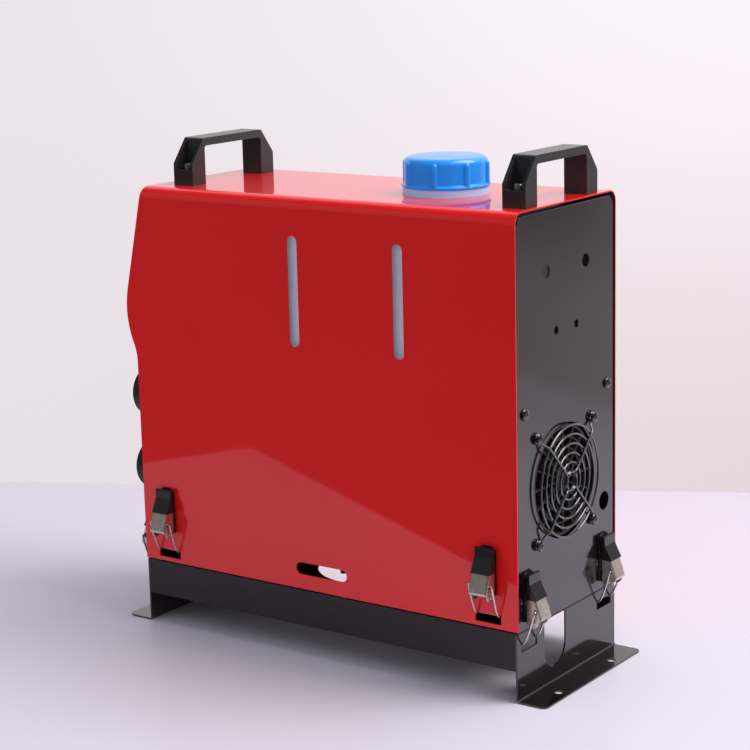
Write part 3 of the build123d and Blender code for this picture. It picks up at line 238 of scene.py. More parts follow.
def bend(piece, chosen, radius):
    """Round the edges whose two ends, in millimetres, pass a test."""
    edit(piece)
    bpy.ops.mesh.select_mode(type="EDGE")
    bpy.ops.mesh.select_all(action="DESELECT")
    bpy.ops.object.mode_set(mode="OBJECT")
    for line in piece.data.edges:
        line.select = chosen(*[piece.data.vertices[index].co / MM for index in line.vertices])
    bpy.ops.object.mode_set(mode="EDIT")
    bpy.ops.mesh.bevel(offset=radius * MM, segments=5)
    bpy.ops.object.mode_set(mode="OBJECT")


def plate(points, depth, place=Matrix()):
    """An outline in X and Y, drawn up along Z by a depth; millimetres."""
    clear()
    bpy.ops.mesh.primitive_circle_add(vertices=len(points), radius=MM, fill_type="NGON")
    piece = bpy.context.object
    for corner, (x, y) in zip(piece.data.vertices, points):
        corner.co = (x * MM, y * MM, 0)
    edit(piece)
    bpy.ops.mesh.extrude_region_move(TRANSFORM_OT_translate={"value": (0, 0, depth * MM)})
    outward()
    return settle(piece, place)


def turned(profile, place=Matrix(), steps=None, ring=False):
    """A round piece: a disc drawn along Z through (radius, height) pairs; millimetres."""
    clear()
    steps = steps or bpy.context.scene.heater_sizes.round_steps
    fill = "NOTHING" if ring else "NGON"
    radius, height = profile[0]
    bpy.ops.mesh.primitive_circle_add(vertices=steps, radius=radius * MM, fill_type=fill,
                                      location=(0, 0, height * MM))
    piece = bpy.context.object
    edit(piece)
    for (r0, h0), (r1, h1) in zip(profile, profile[1:]):
        bpy.ops.mesh.extrude_region_move(TRANSFORM_OT_translate={"value": (0, 0, (h1 - h0) * MM)})
        grow = r1 / r0
        bpy.ops.transform.resize(value=(grow, grow, 1), center_override=(0, 0, h1 * MM))
    bpy.ops.mesh.select_all(action="SELECT")
    bpy.ops.mesh.remove_doubles(threshold=1e-6)
    outward()
    return settle(piece, place @ shift(z=height))


def wire(points, thick):
    """A round wire along smooth control points; millimetres."""
    clear()
    bpy.ops.curve.primitive_nurbs_path_add()
    piece = bpy.context.object
    curve = piece.data
    curve.splines.clear()
    line = curve.splines.new("NURBS")
    line.points.add(len(points) - 1)
    for knot, point in zip(line.points, points):
        knot.co = (*[value * MM for value in point], 1)
    line.use_endpoint_u = True
    line.order_u = 3
    line.resolution_u = 8
    curve.bevel_depth = thick / 2 * MM
    curve.bevel_resolution = 3
    curve.use_fill_caps = True
    bpy.ops.object.convert(target="MESH")
    piece = bpy.context.object
    edit(piece)
    bpy.ops.mesh.remove_doubles(threshold=1e-6)
    outward()
    take(piece)
    bpy.ops.object.shade_smooth()
    return piece


def folded(rows, thick):
    """A sheet laid over rows of point pairs, with its thickness behind it; millimetres."""
    clear()
    bpy.ops.mesh.primitive_grid_add(x_subdivisions=1, y_subdivisions=len(rows) - 1, size=1)
    piece = bpy.context.object
    corners = [point for row in rows for point in row]
    for corner, point in zip(piece.data.vertices, corners):
        corner.co = [value * MM for value in point]
    return modify(piece, "SOLIDIFY", thickness=thick * MM, offset=-1)


def from_node(node, edge, folds=()):
    """A copy of a solid's mesh, its loose triangles joined and its edges rounded.

    folds are (x, z, radius): edges that run along Y there get a radius of their own."""
    source = frame["nodes"][node]
    piece = bpy.data.objects.new(node + "_form", source.data.copy())
    bpy.context.scene.collection.objects.link(piece)
    piece.data.materials.clear()
    edit(piece)
    bpy.ops.mesh.remove_doubles(threshold=2e-6)
    bpy.ops.mesh.dissolve_limited(angle_limit=radians(0.4))
    outward()
    for x, z, radius in folds:
        def on_fold(*ends):
            return all(math.hypot(end.x - x, end.z - z) < 0.02 for end in ends)
        bend(piece, on_fold, radius)
    return soften(piece, edge)


def stadium(wide, high, steps=10):
    """Outline of a slot with round ends, long along X."""
    radius = high / 2
    reach = wide / 2 - radius
    points = []
    for side, start in ((1, -90), (-1, 90)):
        for step in range(steps + 1):
            turn = radians(start + 180 * step / steps)
            points.append((side * reach + radius * cos(turn), radius * sin(turn)))
    return points


def arc(x, y, radius, start, stop, step):
    """Points round a middle, from one angle in degrees to before another."""
    turns = [radians(turn) for turn in range(start, stop, step)]
    return [(x + radius * cos(turn), y + radius * sin(turn)) for turn in turns]


def box_points(wide, high):
    """Corners of a rectangle about the middle."""
    return [(-wide / 2, -high / 2), (wide / 2, -high / 2), (wide / 2, high / 2), (-wide / 2, high / 2)]


def rounded(points, radii, steps=5):
    """A closed outline with its corners rounded by the radii in turn."""
    result = []
    count = len(points)
    for index, (point, radius) in enumerate(zip(points, radii)):
        corner = Vector(point)
        if not radius:
            result.append(tuple(corner))
            continue
        before = (Vector(points[index - 1]) - corner).normalized()
        after = (Vector(points[(index + 1) % count]) - corner).normalized()
        half = before.angle(after) / 2
        middle = corner + (before + after).normalized() * (radius / sin(half))
        start = corner + before * (radius / tan(half)) - middle
        sweep = (math.pi - 2 * half) * (1 if before.cross(after) < 0 else -1)
        for step in range(steps + 1):
            turn = sweep * step / steps
            result.append((middle.x + start.x * cos(turn) - start.y * sin(turn),
                           middle.y + start.x * sin(turn) + start.y * cos(turn)))
    return result


def spun(turn):
    """A turn about Z, in radians."""
    return Matrix.Rotation(turn, 4, "Z")


def facing(origin, across, out):
    """A place at an origin in millimetres, with X across and Z out of the face."""
    x_way = Vector(across).normalized()
    z_way = Vector(out).normalized()
    y_way = z_way.cross(x_way)
    place = Matrix((x_way, y_way, z_way)).transposed().to_4x4()
    place.translation = Vector(origin) * MM
    return place


def endways(x, y, z):
    """A place with X along Y, Y up and Z along X."""
    return facing((x, y, z), (0, 1, 0), (1, 0, 0))


def shift(x=0.0, y=0.0, z=0.0):
    """A move by millimetres."""
    return Matrix.Translation(Vector((x, y, z)) * MM)


def dress(piece, name, body, finish, slot, *nodes):
    """Name a finished piece, give it its finish and let it ride on its body."""
    piece.name = name
    piece.data.name = name
    piece.data.materials.clear()
    piece.data.materials.append(finish())
    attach(piece, body)
    if nodes:
        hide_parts(*nodes)
    return piece


# ---------------------------------------------------------------- finishes
class Signal:
    """A shader value that adds Math nodes where it is used in a sum."""

    def __init__(self, tree, socket):
        self.tree = tree
        self.socket = socket

    def sum(self, operation, first, second=0.0):
        node = self.tree.nodes.new("ShaderNodeMath")
        node.operation = operation
        for entry, term in zip(node.inputs, (first, second)):
            if isinstance(term, Signal):
                self.tree.links.new(term.socket, entry)
            else:
                entry.default_value = term
        return Signal(self.tree, node.outputs[0])

    def __add__(self, other):
        return self.sum("ADD", self, other)

    def __sub__(self, other):
        return self.sum("SUBTRACT", self, other)

    def __rsub__(self, other):
        return self.sum("SUBTRACT", other, self)

    def __mul__(self, other):
        return self.sum("MULTIPLY", self, other)

    __radd__ = __add__
    __rmul__ = __mul__


class Finish:
    """A node material built on one Principled shader."""

    def __init__(self, name, **constants):
        self.material = bpy.data.materials.new(name)
        self.material.use_nodes = True
        self.tree = self.material.node_tree
        self.shader = self.tree.nodes["Principled BSDF"]
        for label, value in constants.items():
            self.shader.inputs[label.replace("_", " ")].default_value = value
        self.spot = self.node("ShaderNodeTexCoord").outputs["Object"]

    def node(self, kind, settings=None, **entries):
        """Add a node: its settings first, then the values or links of its sockets."""
        node = self.tree.nodes.new(kind)
        for name, value in (settings or {}).items():
            setattr(node, name, value)
        for label, value in entries.items():
            entry = node.inputs[label.replace("_", " ")]
            if isinstance(value, Signal):
                value = value.socket
            if isinstance(value, bpy.types.NodeSocket):
                self.tree.links.new(value, entry)
            else:
                entry.default_value = value
        return node

    def signal(self, kind, output, settings=None, **entries):
        """Add a node and take one of its outputs."""
        return Signal(self.tree, self.node(kind, settings, **entries).outputs[output])

    def noise(self, scale, detail=2.0, stretch=(1, 1, 1)):
        """Cloudy noise on the object's own coordinates."""
        spot = self.spot
        if stretch != (1, 1, 1):
            spot = self.node("ShaderNodeMapping", Vector=spot, Scale=stretch).outputs["Vector"]
        return self.signal("ShaderNodeTexNoise", "Fac", Vector=spot, Scale=scale, Detail=detail)

    def axis(self, letter):
        """One of the object's own coordinates, in metres."""
        return self.signal("ShaderNodeSeparateXYZ", letter, Vector=self.spot)

    def band(self, signal, low, high):
        """0 below a level and 1 above another, smoothly."""
        return self.signal("ShaderNodeMapRange", "Result", {"interpolation_type": "SMOOTHSTEP"},
                           Value=signal, From_Min=low, From_Max=high)

    def mix(self, factor, first, second):
        """One colour over another by a factor."""
        node = self.node("ShaderNodeMix", {"data_type": "RGBA"})
        self.tree.links.new(factor.socket, node.inputs["Factor"])
        for entry, value in ((node.inputs[6], first), (node.inputs[7], second)):
            if isinstance(value, bpy.types.NodeSocket):
                self.tree.links.new(value, entry)
            else:
                entry.default_value = (*value[:3], 1)
        return node.outputs[2]

    def feed(self, label, source):
        """Link something that changes over the surface to the shader."""
        socket = source.socket if isinstance(source, Signal) else source
        self.tree.links.new(socket, self.shader.inputs[label])

    def mottle(self, factor, first, second, rough, rise):
        """Colour and roughness that change together."""
        self.feed("Base Color", self.mix(factor, first, second))
        self.feed("Roughness", rough + rise * factor)

    @classmethod
    def simple(cls, name, noise, first, second, rough, bump=None, **constants):
        """A finish of one noise: two colours, roughness with its rise, bump and its strength."""
        finish = cls(name, **constants)
        cloud = finish.noise(*noise)
        finish.mottle(cloud, first, second, *rough)
        if bump:
            finish.bump(cloud, *bump)
        return finish

    def bump(self, height, distance, strength=1.0):
        """Raise the surface by a height signal, distance in millimetres."""
        node = self.node("ShaderNodeBump", Height=height, Distance=distance * MM, Strength=strength)
        self.feed("Normal", node.outputs["Normal"])


MADE = {}


def once(maker):
    """Build a finish the first time it is asked for."""
    def get():
        if maker.__name__ not in MADE:
            MADE[maker.__name__] = maker(bpy.context.scene.heater_colours).material
        return MADE[maker.__name__]
    return get


def tint(shade, factor):
    """A colour made lighter or darker."""
    return tuple(min(1.0, part * factor) for part in shade[:3])


@once
def red_gloss(colours):
    """Gloss powder coat outside with faint orange peel and a clear skin; the inner side is painted near black
    as shade.
    """
    finish = Finish("red gloss", Coat_Weight=1.0, Coat_Roughness=0.04, Coat_IOR=1.5,
                    Specular_IOR_Level=0.2)
    cloud = finish.noise(9.0, 3.0)
    fine = finish.noise(420.0, 2.0)
    paint = finish.mix(cloud, tint(colours.red, 0.94), tint(colours.red, 1.06))
    middle = Vector((1000, HALF_WIDTH - TOP_BEND, CASE_TOP - TOP_BEND)) * MM
    reach = finish.spot
    for operation, second in (("ABSOLUTE", (0, 0, 0)), ("SUBTRACT", middle), ("MAXIMUM", (0, 0, 0))):
        step = finish.node("ShaderNodeVectorMath", {"operation": operation})
        finish.tree.links.new(reach, step.inputs[0])
        step.inputs[1].default_value = second
        reach = step.outputs["Vector"]
    reach = finish.node("ShaderNodeVectorMath", {"operation": "LENGTH"}, Vector=reach).outputs["Value"]
    inner = TOP_BEND - SHEET
    skin = finish.band(Signal(finish.tree, reach), (inner + 0.02) * MM, (inner + 0.12) * MM)
    # painted shade: the sheet's inner side is painted near black, standing in for the shade inside the case
    painted_inner_shade = (0.02, 0.018, 0.018)
    finish.feed("Base Color", finish.mix(skin, painted_inner_shade, paint))
    finish.feed("Roughness", 0.42 + 0.08 * cloud + 0.03 * fine)
    finish.bump(finish.noise(300.0, 1.0), 0.007)
    return finish


def satin_black(name, shade, peel, rough, skin):
    """Satin powder coat over sheet steel, under a clear skin of some weight."""
    finish = Finish(name, Coat_Weight=skin, Coat_Roughness=0.1, Coat_IOR=1.8,
                    Specular_IOR_Level=0.06)
    cloud = finish.noise(14.0, 4.0)
    grain = finish.noise(900.0, 2.0)
    finish.feed("Base Color", finish.mix(cloud, tint(shade, 0.85), tint(shade, 1.15)))
    finish.feed("Roughness", rough + 0.07 * cloud + 0.06 * grain)
    finish.bump(grain + finish.noise(240.0, 2.0), peel)
    return finish


@once
def panel_black(colours):
    """The end panels' satin coat."""
    return satin_black("panel black", colours.black, 0.012, 0.34, 1.0)


@once
def base_black(colours):
    """The tray's and legs' satin coat."""
    return satin_black("base black", colours.base, 0.012, 0.34, 0.4)


@once
def handle_black(colours):
    """Moulded nylon with a fine spark-eroded grain, and lighter specks painted in as glints on it."""
    finish = Finish("handle black", Coat_Weight=0.3, Coat_Roughness=0.3)
    grain = finish.signal("ShaderNodeTexVoronoi", "Distance", Vector=finish.spot, Scale=1500.0)
    # painted glints: lighter specks in the base colour stand in for light catching the grain
    painted_glint = finish.band(finish.noise(1300.0, 1.0), 0.50, 0.68)
    finish.feed("Base Color", finish.mix(painted_glint, tint(colours.handle, 0.8), tint(colours.handle, 2.2)))
    finish.feed("Roughness", 0.27 + 0.12 * grain)
    finish.bump(grain, 0.05, 0.6)
    return finish


@once
def grip_black(colours):
    """Glossy dipped plastic on the latch grips."""
    return Finish.simple("grip black", (180.0, 3.0), tint(colours.grip, 0.8), tint(colours.grip, 1.3),
                         (0.26, 0.12), (0.05, 0.5), Coat_Weight=0.4, Coat_Roughness=0.12)


@once
def wire_black(colours):
    """Gloss black coat on the guard's wire."""
    return Finish.simple("wire black", (300.0, 2.0), (0.14, 0.135, 0.135), (0.22, 0.21, 0.21),
                         (0.16, 0.1), (0.02, 1.0), Metallic=0.9, Coat_Weight=0.3, Coat_Roughness=0.1)


@once
def screw_black(colours):
    """Blackened steel screws, mottled lighter and darker."""
    return Finish.simple("screw black", (500.0, 3.0), (0.03, 0.03, 0.03), (0.12, 0.115, 0.11),
                         (0.16, 0.12), (0.02, 1.0), Metallic=0.85, Coat_Weight=0.6, Coat_Roughness=0.06)


@once
def nickel(colours):
    """Tumbled nickel plate with small scuffs."""
    finish = Finish("nickel", Metallic=1.0)
    cloud = finish.noise(140.0, 4.0)
    scuff = finish.band(finish.noise(700.0, 5.0, (1, 1, 0.25)), 0.52, 0.72)
    worn = finish.mix(cloud, tint(colours.nickel, 0.72), tint(colours.nickel, 1.1))
    finish.feed("Base Color", finish.mix(scuff, worn, tint(colours.nickel, 1.35)))
    finish.feed("Roughness", 0.3 + 0.16 * cloud - 0.08 * scuff)
    finish.bump(cloud + 0.4 * scuff, 0.03, 0.7)
    return finish


@once
def bright_wire(colours):
    """Polished spring wire."""
    return Finish.simple("bright wire", (400.0, 3.0), tint(colours.bright, 0.85),
                         tint(colours.bright, 1.1), (0.14, 0.12), Metallic=1.0)


@once
def zinc(colours):
    """Zinc-plated screws and inner sheet."""
    return Finish.simple("zinc", (120.0, 4.0), (0.55, 0.56, 0.58), (0.80, 0.80, 0.78), (0.28, 0.2),
                         Metallic=1.0)


@once
def cap_blue(colours):
    """Blue polyethylene with faint moulding marks, and a faint painted blue glow."""
    finish = Finish("cap blue", Subsurface_Weight=0.15, Subsurface_Scale=0.003, Coat_Weight=0.6,
                    Coat_Roughness=0.08, Emission_Strength=0.12)
    cloud = finish.noise(50.0, 3.0)
    grain = finish.noise(1100.0, 2.0)
    finish.feed("Base Color", finish.mix(cloud, tint(colours.cap, 0.9), tint(colours.cap, 1.08)))
    # painted glow: a faint blue emission brightens the cap, though it is no lamp
    finish.feed("Emission Color", finish.mix(cloud, (0.0, 0.25, 0.9), (0.0, 0.35, 1.0)))
    finish.feed("Roughness", 0.32 + 0.1 * cloud + 0.05 * grain)
    finish.bump(grain, 0.02)
    return finish


@once
def tank_milky(colours):
    """Blow-moulded milky polyethylene: a painted glow stands in for light coming through it, and the neck is
    painted blue as light from the cap.
    """
    finish = Finish("tank milky", Subsurface_Weight=0.3, Subsurface_Scale=0.006, Emission_Strength=0.12)
    cloud = finish.noise(22.0, 4.0)
    neck = finish.band(finish.axis("Z"), 0.365, 0.375)
    # painted light: the neck is painted blue, standing in for the cap's light shining into it
    cap_light = (0.50, 0.66, 0.96)
    milk = finish.mix(cloud, tint(colours.tank, 0.92), tint(colours.tank, 1.03))
    milk = finish.mix(neck, milk, cap_light)
    finish.feed("Base Color", milk)
    # painted glow: the tank's colour also feeds a faint emission, standing in for light coming through the
    # plastic
    finish.feed("Emission Color", milk)
    finish.feed("Roughness", 0.38 + 0.12 * cloud)
    finish.bump(finish.noise(120.0, 3.0), 0.06, 0.6)
    return finish


@once
def unit_black(colours):
    """The heater unit's glass-filled nylon."""
    return Finish.simple("unit black", (800.0, 3.0), (0.008, 0.008, 0.009), (0.03, 0.03, 0.031),
                         (0.42, 0.16), (0.03, 1.0))


@once
def cast_metal(colours):
    """Die-cast aluminium."""
    return Finish.simple("cast metal", (500.0, 4.0), (0.40, 0.41, 0.42), (0.62, 0.62, 0.62),
                         (0.42, 0.2), (0.08, 1.0), Metallic=1.0)


@once
def rubber(colours):
    """Matt rubber hose and seals."""
    return Finish.simple("rubber", (700.0, 3.0), (0.010, 0.010, 0.010), (0.024, 0.024, 0.024),
                         (0.6, 0.2), (0.03, 1.0))


@once
def lens_smoke(colours):
    """The display's smoked window."""
    return Finish.simple("lens smoke", (40.0, 2.0), (0.008, 0.010, 0.013), (0.014, 0.017, 0.022),
                         (0.08, 0.05), Coat_Weight=0.6, Coat_Roughness=0.03)


@once
def key_grey(colours):
    """Soft grey keys."""
    return Finish.simple("key grey", (600.0, 2.0), (0.10, 0.105, 0.11), (0.15, 0.155, 0.16),
                         (0.46, 0.12), (0.02, 1.0))


# ---------------------------------------------------------------- the shell's shape
def nose_x(height, inset=0.0):
    """X of the outlet end's line at a height: upright, out over a nose, back along a lean."""
    turn = radians(23.0)                         # how far the hollow bend turns outward
    tilt = radians(LEAN)
    start = NOSE_START
    hollow = 40.0 + inset
    crown = 75.0 - inset
    hollow_end = start + hollow * sin(turn)
    crown_mid = hollow_end + crown * sin(turn)
    crown_end = crown_mid + crown * sin(tilt)
    base = inset - HALF_LENGTH
    if height <= start:
        return base
    if height <= hollow_end:
        return base - hollow + math.sqrt(hollow ** 2 - (height - start) ** 2)
    middle = base - hollow * (1 - cos(turn)) + crown * cos(turn)
    if height <= crown_end:
        return middle - math.sqrt(crown ** 2 - (height - crown_mid) ** 2)
    return middle - crown * cos(tilt) + (height - crown_end) * tan(tilt)


class HEATER_OT_stage(Operator):
    """Table, wall, lamps and the photograph's camera"""
    bl_idname = "heater.stage"
    bl_label = "Stage"

    # in metres
    CORNER = Vector((-0.480, -0.582, 0))         # table's front left corner
    ALONG = radians(27.5)                        # its front edge, off the X axis
    LONG = 2.8
    DEEP = 0.74
    HIGH = 1.7
    AIM = Vector((0, 0, 0.2))                    # what the lamps point at
    LAMPS = (                                    # name, place, side of the square, watts
        ("key", (1.3, 0.75, 2.1), 2.0, 76.0),
        ("front", (-1.50, -1.95, 1.05), 1.8, 2.1),
        ("side", (1.55, -1.10, 1.40), 0.35, 1.5))
    EYE = (949.95, -1321.83, 577.11)             # camera, in millimetres
    YAW = radians(35.679)
    PITCH = radians(12.143)
    ROLL = radians(-1.391)
    PIXELS = 750.0                               # the picture's side, and in its pixels:
    FOCAL = 2057.45                              # focal length
    MIDDLE_X = 370.97                            # where the view axis meets the picture
    MIDDLE_Y = 365.84

    def execute(self, context):
        colours = context.scene.heater_colours
        self.table(colours)
        self.wall(colours)
        self.lamps(context)
        self.camera(context)
        return {"FINISHED"}

    def sheet(self, name, wide, high, spot, tilt):
        """A flat sheet of the set, its middle at a spot along, into and above the table."""
        clear()
        turn = Matrix.Rotation(self.ALONG, 4, "Z")
        bpy.ops.mesh.primitive_plane_add(size=1)
        sheet = bpy.context.object
        sheet.name = name
        sheet.scale = (wide, high, 1)
        sheet.rotation_euler = (tilt, 0, self.ALONG)
        sheet.location = self.CORNER + turn @ Vector(spot)
        bpy.ops.object.transform_apply(location=True, rotation=True, scale=True)
        return sheet

    def table(self, colours):
        table = self.sheet("table", self.LONG, self.DEEP, (self.LONG / 2, self.DEEP / 2, 0), 0)
        finish = Finish("table", Specular_IOR_Level=0.04)
        cloud = finish.noise(2.0, 2.0)
        fine = finish.noise(300.0, 2.0)
        shade = finish.mix(cloud, tint(colours.table, 0.98), tint(colours.table, 1.0))
        # painted shade: the table's colour darkens towards its far end along the wall
        painted_far_shade = finish.band(self.along(finish), 0.6, 1.0)
        finish.feed("Base Color", finish.mix(painted_far_shade, shade, (0.56, 0.51, 0.57)))
        finish.feed("Roughness", 0.3 + 0.06 * cloud + 0.03 * fine)
        table.data.materials.append(finish.material)

    def wall(self, colours):
        middle = (self.LONG / 2, self.DEEP, self.HIGH / 2)
        wall = self.sheet("wall", self.LONG, self.HIGH, middle, radians(90))
        finish = Finish("wall", Base_Color=(0, 0, 0, 1), Specular_IOR_Level=0.0, Emission_Strength=1.0)
        finish.feed("Emission Color", self.fade(finish, colours.wall))
        finish.feed("Alpha", 1.0 - finish.signal("ShaderNodeNewGeometry", "Backfacing"))
        wall.data.materials.append(finish.material)

    def along(self, finish):
        """How far a point lies along the wall, in metres from the heater's middle."""
        return cos(self.ALONG) * finish.axis("X") + sin(self.ALONG) * finish.axis("Y")

    def fade(self, finish, shade):
        """Wall colour, with painted light and shade from side to side and up; its far end is painted dark as
        shade, seen in reflections only.
        """
        along = self.along(finish)
        up = finish.axis("Z")
        # painted light and shade: the wall grows lighter upward and changes from side to side
        side = finish.band(along, -0.45, 0.35)
        rise = finish.band(up, 0.0, 0.55)
        low = finish.mix(side, tint(shade, 0.91), (0.80, 0.69, 0.73))
        high = finish.mix(side, tint(shade, 0.95), tint(shade, 1.12))
        # painted shade: the wall's far end turns dark, in reflections only
        painted_far_shade = finish.mix(finish.band(up, 0.10, 0.26), (0.49, 0.43, 0.45), (0.18, 0.165, 0.17))
        unseen = 1.0 - finish.signal("ShaderNodeLightPath", "Is Camera Ray")
        return finish.mix(finish.band(along, 0.5, 1.1) * unseen, finish.mix(rise, low, high), painted_far_shade)

    def lamps(self, context):
        world = bpy.data.worlds.new("studio")
        context.scene.world = world
        world.use_nodes = True
        tree = world.node_tree
        rays = tree.nodes.new("ShaderNodeLightPath").outputs
        seen = Signal(tree, rays["Is Camera Ray"])
        glossy = Signal(tree, rays["Is Glossy Ray"])
        strength = 0.49 + 0.45 * seen - 0.44 * glossy    # pale to the eye, dark in reflections
        sky = tree.nodes["Background"].inputs
        tree.links.new(strength.socket, sky["Strength"])
        sky["Color"].default_value = (0.90, 0.92, 1.06, 1)
        for name, spot, wide, power in self.LAMPS:
            light = bpy.data.lights.new(name, "AREA")
            light.shape = "SQUARE"
            light.size = wide
            light.energy = power
            lamp = bpy.data.objects.new(name, light)
            context.scene.collection.objects.link(lamp)
            lamp.location = spot
            way = self.AIM - Vector(spot)
            lamp.rotation_euler = way.to_track_quat("-Z", "Y").to_euler()

    def camera(self, context):
        level = Vector((cos(self.YAW), sin(self.YAW), 0))
        forward = Vector((-sin(self.YAW), cos(self.YAW), 0))
        ahead = forward * cos(self.PITCH) - Vector((0, 0, sin(self.PITCH)))
        upright = level.cross(ahead)
        right = level * cos(self.ROLL) + upright * sin(self.ROLL)
        up = upright * cos(self.ROLL) - level * sin(self.ROLL)
        lens = bpy.data.cameras.new("camera")
        lens.sensor_width = 36.0
        lens.lens = self.FOCAL / self.PIXELS * lens.sensor_width
        lens.shift_x = 0.5 - self.MIDDLE_X / self.PIXELS
        lens.shift_y = self.MIDDLE_Y / self.PIXELS - 0.5
        camera = bpy.data.objects.new("camera", lens)
        context.scene.collection.objects.link(camera)
        place = Matrix((right, up, -ahead)).transposed().to_4x4()
        place.translation = Vector(self.EYE) * MM
        camera.matrix_world = place
        context.scene.camera = camera
        context.scene.view_settings.view_transform = "Standard"


class HEATER_OT_inner(Operator):
    """Finishes on the solids that keep their own shape"""
    bl_idname = "heater.inner"
    bl_label = "Inner pieces"

    FINISH_OF = {
        "red_paint": red_gloss, "black_paint": panel_black, "base_paint": base_black,
        "handle_plastic": handle_black, "tank_plastic": tank_milky, "cap_plastic": cap_blue,
        "guard_wire": wire_black, "screw_steel": screw_black, "latch_steel": nickel,
        "latch_wire": bright_wire, "latch_plate_steel": panel_black, "unit_plastic": unit_black,
        "cast_aluminium": cast_metal, "heat_steel": zinc, "plain_steel": zinc, "rubber": rubber,
        "louvre_plastic": unit_black, "bezel_plastic": unit_black, "lens": lens_smoke,
        "button_plastic": key_grey,
    }

    def execute(self, context):
        for entry in frame["record"]["subparts"]:
            mesh = frame["nodes"][entry["node"]].data
            mesh.materials.clear()
            mesh.materials.append(self.FINISH_OF[entry["material_slot"]]())
        return {"FINISHED"}


# ---------------------------------------------------------------- pieces
class HEATER_OT_shell(Operator):
    """Folded red sheet over the top and the long sides"""
    bl_idname = "heater.shell"
    bl_label = "Shell"

    SEAM = 1.0                                   # dark line between the shell and the tray
    SIGHT_X = (-18.5, 80.5)
    SIGHT_Z = 298
    HAND_X = 1
    HAND_Z = 73.2
    NECK_HOLE = 34
    CUT_Y = -65                                  # where the front's cutters start,
    CUT_DEPTH = 20                               # and how far they reach

    def execute(self, context):
        sheet = folded(self.rows(context.scene.heater_sizes.bend_steps), SHEET)
        cut(sheet, *self.openings())
        soften(sheet, size("edge"))
        dress(sheet, "red_shell", "case", red_gloss, "red_paint", "shell")
        return {"FINISHED"}

    def rows(self, steps):
        """Both ends of each line along X, from the front's foot over the top to the back's."""
        crease_y = HALF_WIDTH - TOP_BEND
        crease_z = CASE_TOP - TOP_BEND
        heights = [STANCE + self.SEAM, 150.0, NOSE_START]
        heights += [NOSE_START + 2.5 * step for step in range(1, 41)]
        heights += [345.0, crease_z]
        half = [(HALF_WIDTH, height) for height in heights]
        for step in range(1, steps + 1):
            turn = radians(90 * step / steps)
            half.append((crease_y + TOP_BEND * cos(turn), crease_z + TOP_BEND * sin(turn)))
        around = [(-y, z) for y, z in half] + [(y, z) for y, z in reversed(half)]
        return [((nose_x(z), y, z), (HALF_LENGTH, y, z)) for y, z in around]

    def openings(self):
        """Sight slots, hand slot, latch windows through both sides, and the neck's hole."""
        sight = stadium(88, 9.5)
        hand = stadium(50, 9.8)
        window = box_points(WINDOW_WIDTH, WINDOW_HEIGHT)
        window_z = CASE_WINDOW_Z + WINDOW_HEIGHT / 2
        tools = []
        for x in self.SIGHT_X:
            place = facing((x, self.CUT_Y, self.SIGHT_Z), (0, 0, 1), (0, -1, 0))
            tools.append(plate(sight, self.CUT_DEPTH, place))
        place = facing((self.HAND_X, self.CUT_Y, self.HAND_Z), (1, 0, 0), (0, -1, 0))
        tools.append(plate(hand, self.CUT_DEPTH, place))
        for x in (-CASE_LATCH_X, CASE_LATCH_X):
            tools.append(plate(window, 180, facing((x, 90, window_z), (1, 0, 0), (0, -1, 0))))
        tools.append(turned([(self.NECK_HOLE, 350), (self.NECK_HOLE, 390)], shift(NECK_X)))
        return tools


class HEATER_OT_sheets(Operator):
    """End panels, tray and legs with rounded cut edges"""
    bl_idname = "heater.sheets"
    bl_label = "Black sheets"

    FOLD_IN = 1.3                                # the foot's bend, inside and outside radius
    FOLD_OUT = 2.8

    def execute(self, context):
        for node, name, finish, slot, way in (
                ("intake_end_panel", "fresh_panel", panel_black, "black_paint", 0),
                ("outlet_end_panel", "warm_panel", panel_black, "black_paint", 0),
                ("base_tray", "tray", base_black, "base_paint", 0),
                ("intake_leg", "fresh_leg", panel_black, "base_paint", 1),
                ("outlet_leg", "warm_leg", panel_black, "base_paint", -1)):
            folds = []
            if way:
                folds = [(way * PANEL_X, BASE_SHEET, self.FOLD_IN),
                         (way * (PANEL_X - BASE_SHEET), 0, self.FOLD_OUT)]
            dress(from_node(node, size("edge"), folds), name, "case", finish, slot, node)
        return {"FINISHED"}


class HEATER_OT_handles(Operator):
    """Two moulded handles with hollow ends, and their socket screws"""
    bl_idname = "heater.handles"
    bl_label = "Handles"

    SCREW_Y = 44.75
    FLOOR = 13                                   # height of the screws' seat

    def execute(self, context):
        places = [shift(x, 0, CASE_TOP) for x in HANDLE_X]
        ends = (("handle_outlet_end", "warm_handle"), ("handle_intake_end", "fresh_handle"))
        for one, (node, name) in zip(spread(self.handle(), places), ends):
            dress(one, name, "case", handle_black, "handle_plastic", node)
        places = [shift(x, y, CASE_TOP + self.FLOOR) for x in HANDLE_X for y in (-self.SCREW_Y, self.SCREW_Y)]
        screws = spread(self.screw(), places)
        dress(join(*screws), "handle_bolts", "case", zinc, "screw_steel", "handle_screws")
        return {"FINISHED"}

    def handle(self):
        outline = [(-53, 0), (-53, 17.5), (-37.5, 37.5), (37.5, 37.5), (53, 17.5), (53, 0),
                   (36.5, 0), (36.5, 31), (-36.5, 31), (-36.5, 0)]
        radii = [0, 2.5, 3, 3, 2.5, 0, 0, 2.5, 2.5, 0]
        handle = plate(rounded(outline, radii), 20, endways(-10, 0, 0))
        pocket = [(39.1, self.FLOOR), (60, self.FLOOR), (60, 34.9), (39.1, 34.9)]
        pockets = []
        for side in (1, -1):
            points = [(side * y, z) for y, z in pocket][::side]
            pockets.append(plate(points, 14.8, endways(-7.4, 0, 0)))
        cut(handle, *pockets)
        return soften(handle, size("moulded_edge"), 3)

    def screw(self):
        screw = turned([(4.0, 0), (4.4, 0.3), (4.4, 3.4), (4.0, 4.0)], steps=32)
        cut(screw, plate(arc(0, 0, 2.3, 0, 360, 60), 5, shift(z=1.6)))
        return soften(screw, 0.15)


